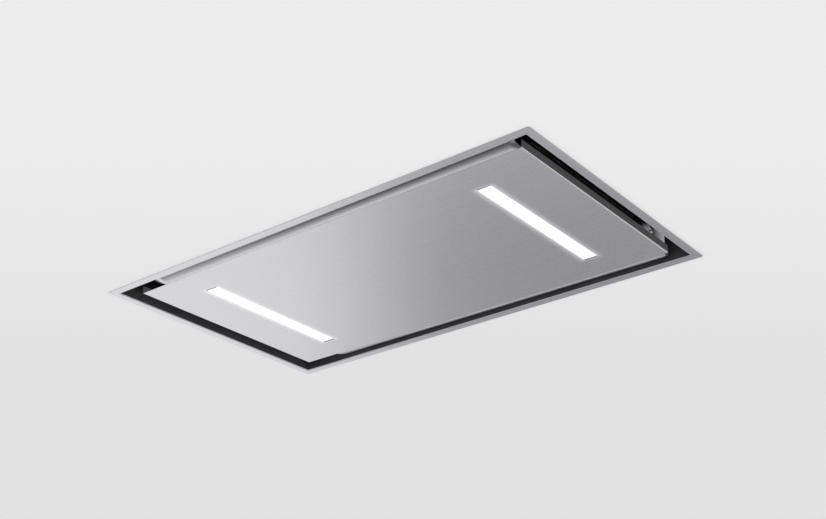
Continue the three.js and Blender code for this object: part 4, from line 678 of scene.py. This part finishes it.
# Green solder mask, a little paler over the copper tracks that run in blocks of 9 mm.
solder_mask, tree, shader = new_material("green_solder_mask", Roughness=0.35)
place = add_node(tree, "TexCoord").outputs["Object"]
tracks = add_node(tree, "TexBrick", {"Scale": 1 / (9 * mm), "Mortar Size": 0.09, "Color1": colour("#1c5235"),
                                     "Color2": colour("#1f5a3a"), "Mortar": colour("#2f7a52")},
                  {"Vector": place})
tree.links.new(tracks.outputs["Color"], shader.inputs["Base Color"])
relief(tree, shader, tracks.outputs["Fac"], 0.05, 0.5)
dress(solder_mask, "led_board_left", "led_board_right")

# Opal acrylic, lit from behind: evenly white, dimmer on the flange along its sides, and unlit at
# the two ends that lie past the row of diodes.
lens_light = 1.6
flange_light = 0.5
opal, tree, shader = new_material("lit_opal_acrylic", Roughness=0.3)
shader.inputs["Base Color"].default_value = colour("#dededf")
glow = noise_mm(tree, (40, 40, 40), detail=1.0)
vary(tree, shader, "Emission Color", glow, "#fbfcff", "#ffffff")
place = add_node(tree, "TexCoord").outputs["Object"]
spot = add_node(tree, "VectorMath", {}, {0: place}, operation="ABSOLUTE")
spot = add_node(tree, "SeparateXYZ", links={0: spot.outputs["Vector"]})
from_axis = add_node(tree, "Math", {1: lamp_x}, {0: spot.outputs["X"]}, operation="SUBTRACT")
aside = add_node(tree, "Math", {}, {0: from_axis.outputs[0]}, operation="ABSOLUTE")
dimming = add_node(tree, "MapRange", {"From Min": 10.5 * mm, "From Max": 12.7 * mm, "To Min": lens_light,
                                      "To Max": flange_light}, {"Value": aside.outputs[0]},
                   interpolation_type="SMOOTHSTEP")
at_end = add_node(tree, "MapRange", {"From Min": lit_end - 0.6 * mm, "From Max": lit_end + 0.8 * mm,
                                     "To Min": lens_light, "To Max": 0.0}, {"Value": spot.outputs["Y"]})
lit = add_node(tree, "Math", {}, {0: dimming.outputs["Result"], 1: at_end.outputs["Result"]},
               operation="MINIMUM")
tree.links.new(lit.outputs[0], shader.inputs["Emission Strength"])

# The lens: a bar with rounded corners and a thin flange at its lower face, just inside the slot.
lens_corner = 0.8 * mm
lens_past_box = 1.4 * mm
flange_out, flange_high = 1.2 * mm, 0.7 * mm
for tag in ("left", "right"):
    low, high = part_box("diffuser_" + tag)
    middle = (low + high) / 2
    half = (high.x - low.x) / 2 - lens_rim
    lens = start("lens_" + tag, bpy.ops.mesh.primitive_cube_add, size=1, location=middle)
    lens.scale = (2 * half, high.y - low.y + 2 * lens_past_box, high.z - low.z)
    bpy.ops.object.transform_apply(location=True, rotation=True, scale=True)
    bpy.ops.object.mode_set(mode="EDIT")
    pick("edges", lambda m: abs(m.x - middle.x) > 5 * mm and abs(m.y - middle.y) > 5 * mm)
    bpy.ops.mesh.bevel(offset=lens_corner, segments=3)
    bpy.ops.mesh.select_all(action="SELECT")
    bpy.ops.mesh.bisect(plane_co=(0, 0, low.z + flange_high), plane_no=(0, 0, 1))
    pick("faces", lambda m: m.z < low.z + flange_high and abs(m.x - middle.x) > half - 0.1 * mm)
    bpy.ops.mesh.extrude_region_shrink_fatten(TRANSFORM_OT_shrink_fatten={"value": flange_out})
    finished(lens, "panel", opal, ["diffuser_" + tag], edge=0.3)


# ---------------------------------------------------------------- hinges and catches
# Zinc-plated steel: arms riveted to the panel's ends turn on pins in brackets under the deck.
# At the front, magnetic catches in black housings hold two small striker plates.
# The brackets' rear ends carry a painted highlight: a glow for the light through the gap, stronger and
# stronger over the last 36 mm.
highlight_painted_zinc = zinc_plate.copy()
highlight_painted_zinc.name = "zinc_plated_steel_with_painted_highlight"
tree = highlight_painted_zinc.node_tree
shader = tree.nodes["Principled BSDF"]
shader.inputs["Emission Color"].default_value = colour("#fdfdff")
place = add_node(tree, "TexCoord").outputs["Object"]
rearward = add_node(tree, "SeparateXYZ", links={0: place}).outputs["Y"]
vary(tree, shader, "Emission Strength", rearward, 0.0, 0.3, span=(0.168, 0.204))
for tag in ("left", "right"):
    soften("hinge_bracket_" + tag, "body", highlight_painted_zinc)
    soften("hinge_pin_" + tag, "body", zinc_plate, edge=0.3)
    soften("hinge_arm_" + tag, "panel", zinc_plate)
    soften("striker_" + tag, "panel", zinc_plate)
    soften("catch_" + tag, "body", black_abs)
catch_low, catch_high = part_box("catch_right")
hinge_low, hinge_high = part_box("hinge_bracket_right")
flange_sheet = 2.0 * mm
under_places = []
for side in (-1, 1):
    for x in (catch_low.x + 5 * mm, catch_high.x - 5 * mm):
        under_places.append((side * x, (catch_low.y + catch_high.y) / 2, catch_high.z - flange_sheet))
    for y in (hinge_low.y + 12 * mm, hinge_high.y - 12 * mm):
        under_places.append((side * (hinge_low.x + 11 * mm), y, hinge_high.z - flange_sheet))
screws("hinge_and_catch_screws", under_places, "body", zinc_plate, head=2.4, up=(0, 0, -1))


# ---------------------------------------------------------------- blower
# A galvanised scroll with its bell-mouth inlet, the forward-curved wheel in it, and the enamelled
# motor that hangs in the scroll's cover on a three-armed bracket.
for name in ("inlet_ring", "scroll_housing", "scroll_cover", "duct_transition"):
    soften(name, "body", galvanised, edge=0)
soften("impeller", "wheel", galvanised, edge=0)
soften("impeller_plate", "wheel", galvanised, edge=0.3)
soften("impeller_shroud", "wheel", galvanised, edge=0.3)
soften("motor_shaft", "wheel", zinc_plate, edge=0.3)
soften("motor_bracket", "body", zinc_plate)

enamel, tree, shader = new_material("dark_stoved_enamel", Metallic=0.0, Roughness=0.4)
skin = noise_mm(tree, (2.0, 2.0, 2.0), detail=2.0)
vary(tree, shader, "Base Color", noise_mm(tree, (30, 30, 30)), "#33363b", "#3d4046")
vary(tree, shader, "Roughness", skin, 0.34, 0.48)
relief(tree, shader, skin, 0.05, 0.4)
soften("motor", "body", enamel, edge=0.5)

coated_can, tree, shader = new_material("lacquered_aluminium_can", Metallic=0.6, Roughness=0.35)
drawn = noise_mm(tree, (1.2, 1.2, 40), detail=2.0)
vary(tree, shader, "Base Color", drawn, "#d2d2cd", "#deded9")
vary(tree, shader, "Roughness", drawn, 0.3, 0.42)
soften("capacitor", "body", coated_can, edge=0.5)


# ---------------------------------------------------------------- motor box and duct collar
# A galvanised box with a screwed lid closes the blower in. On its rear wall a black moulded
# collar for a 150 mm duct carries two sprung flaps on one steel pin.
dress(galvanised, "motor_box")
soften("motor_box_lid", "body", galvanised, edge=0.4)
lid_low, lid_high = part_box("motor_box_lid")
lid_z = lid_high.z - 8 * mm
for tag, axis, side in (("left", 0, -1), ("right", 0, 1), ("front", 1, -1)):
    wall = (lid_low if side < 0 else lid_high)[axis]
    up = [0, 0, 0]
    up[axis] = side
    spots = []
    for share in (0.12, 0.5, 0.88):
        spot = lid_low.lerp(lid_high, share)
        spot.z = lid_z
        spot[axis] = wall - side * head_sunk
        spots.append(spot)
    screws("lid_screws_" + tag, spots, "body", zinc_plate, up=up)
soften("duct_collar", "body", black_abs, edge=0.4)
soften("flap_left", "left_flap", black_abs)
soften("flap_right", "right_flap", black_abs)
soften("flap_pin", "body", zinc_plate, edge=0)
collar_low, collar_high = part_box("duct_collar")
corner = 9 * mm
collar_flange = 2.0 * mm
collar_places = [(x, collar_low.y + collar_flange, z)
                 for x in (collar_low.x + corner, collar_high.x - corner)
                 for z in (collar_low.z + corner, collar_high.z - corner)]
screws("collar_screws", collar_places, "body", zinc_plate, up=(0, 1, 0))


# ---------------------------------------------------------------- control box and lamp driver
# Moulded grey boxes on top of the steel box: the mains board with its relays under a lid, a
# cable gland in the end wall, and the sealed driver of the lamps on the other side.
soften("control_box", "body", grey_abs, edge=0.5)
soften("control_lid", "body", grey_abs, edge=0.5)
soften("lamp_driver", "body", grey_abs, edge=0.5)
soften("cable_gland", "body", black_abs, edge=0.2)
dress(solder_mask, "control_board")
box_low, box_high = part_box("control_lid")
inset = 9 * mm
lid_places = [(x, y, box_high.z - head_sunk) for x in (box_low.x + inset, box_high.x - inset)
              for y in (box_low.y + inset, box_high.y - inset)]
screws("control_screws", lid_places, "body", zinc_plate, head=2.6)
driver_low, driver_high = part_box("lamp_driver")
ear = 6 * mm
ear_sheet = 2.0 * mm
ear_places = [(x, (driver_low.y + driver_high.y) / 2, driver_low.z + ear_sheet)
              for x in (driver_low.x + ear, driver_high.x - ear)]
screws("driver_screws", ear_places, "body", zinc_plate, head=3.0)


# ---------------------------------------------------------------- end
# The colours shown as written.
bpy.context.scene.view_settings.view_transform = "Standard"
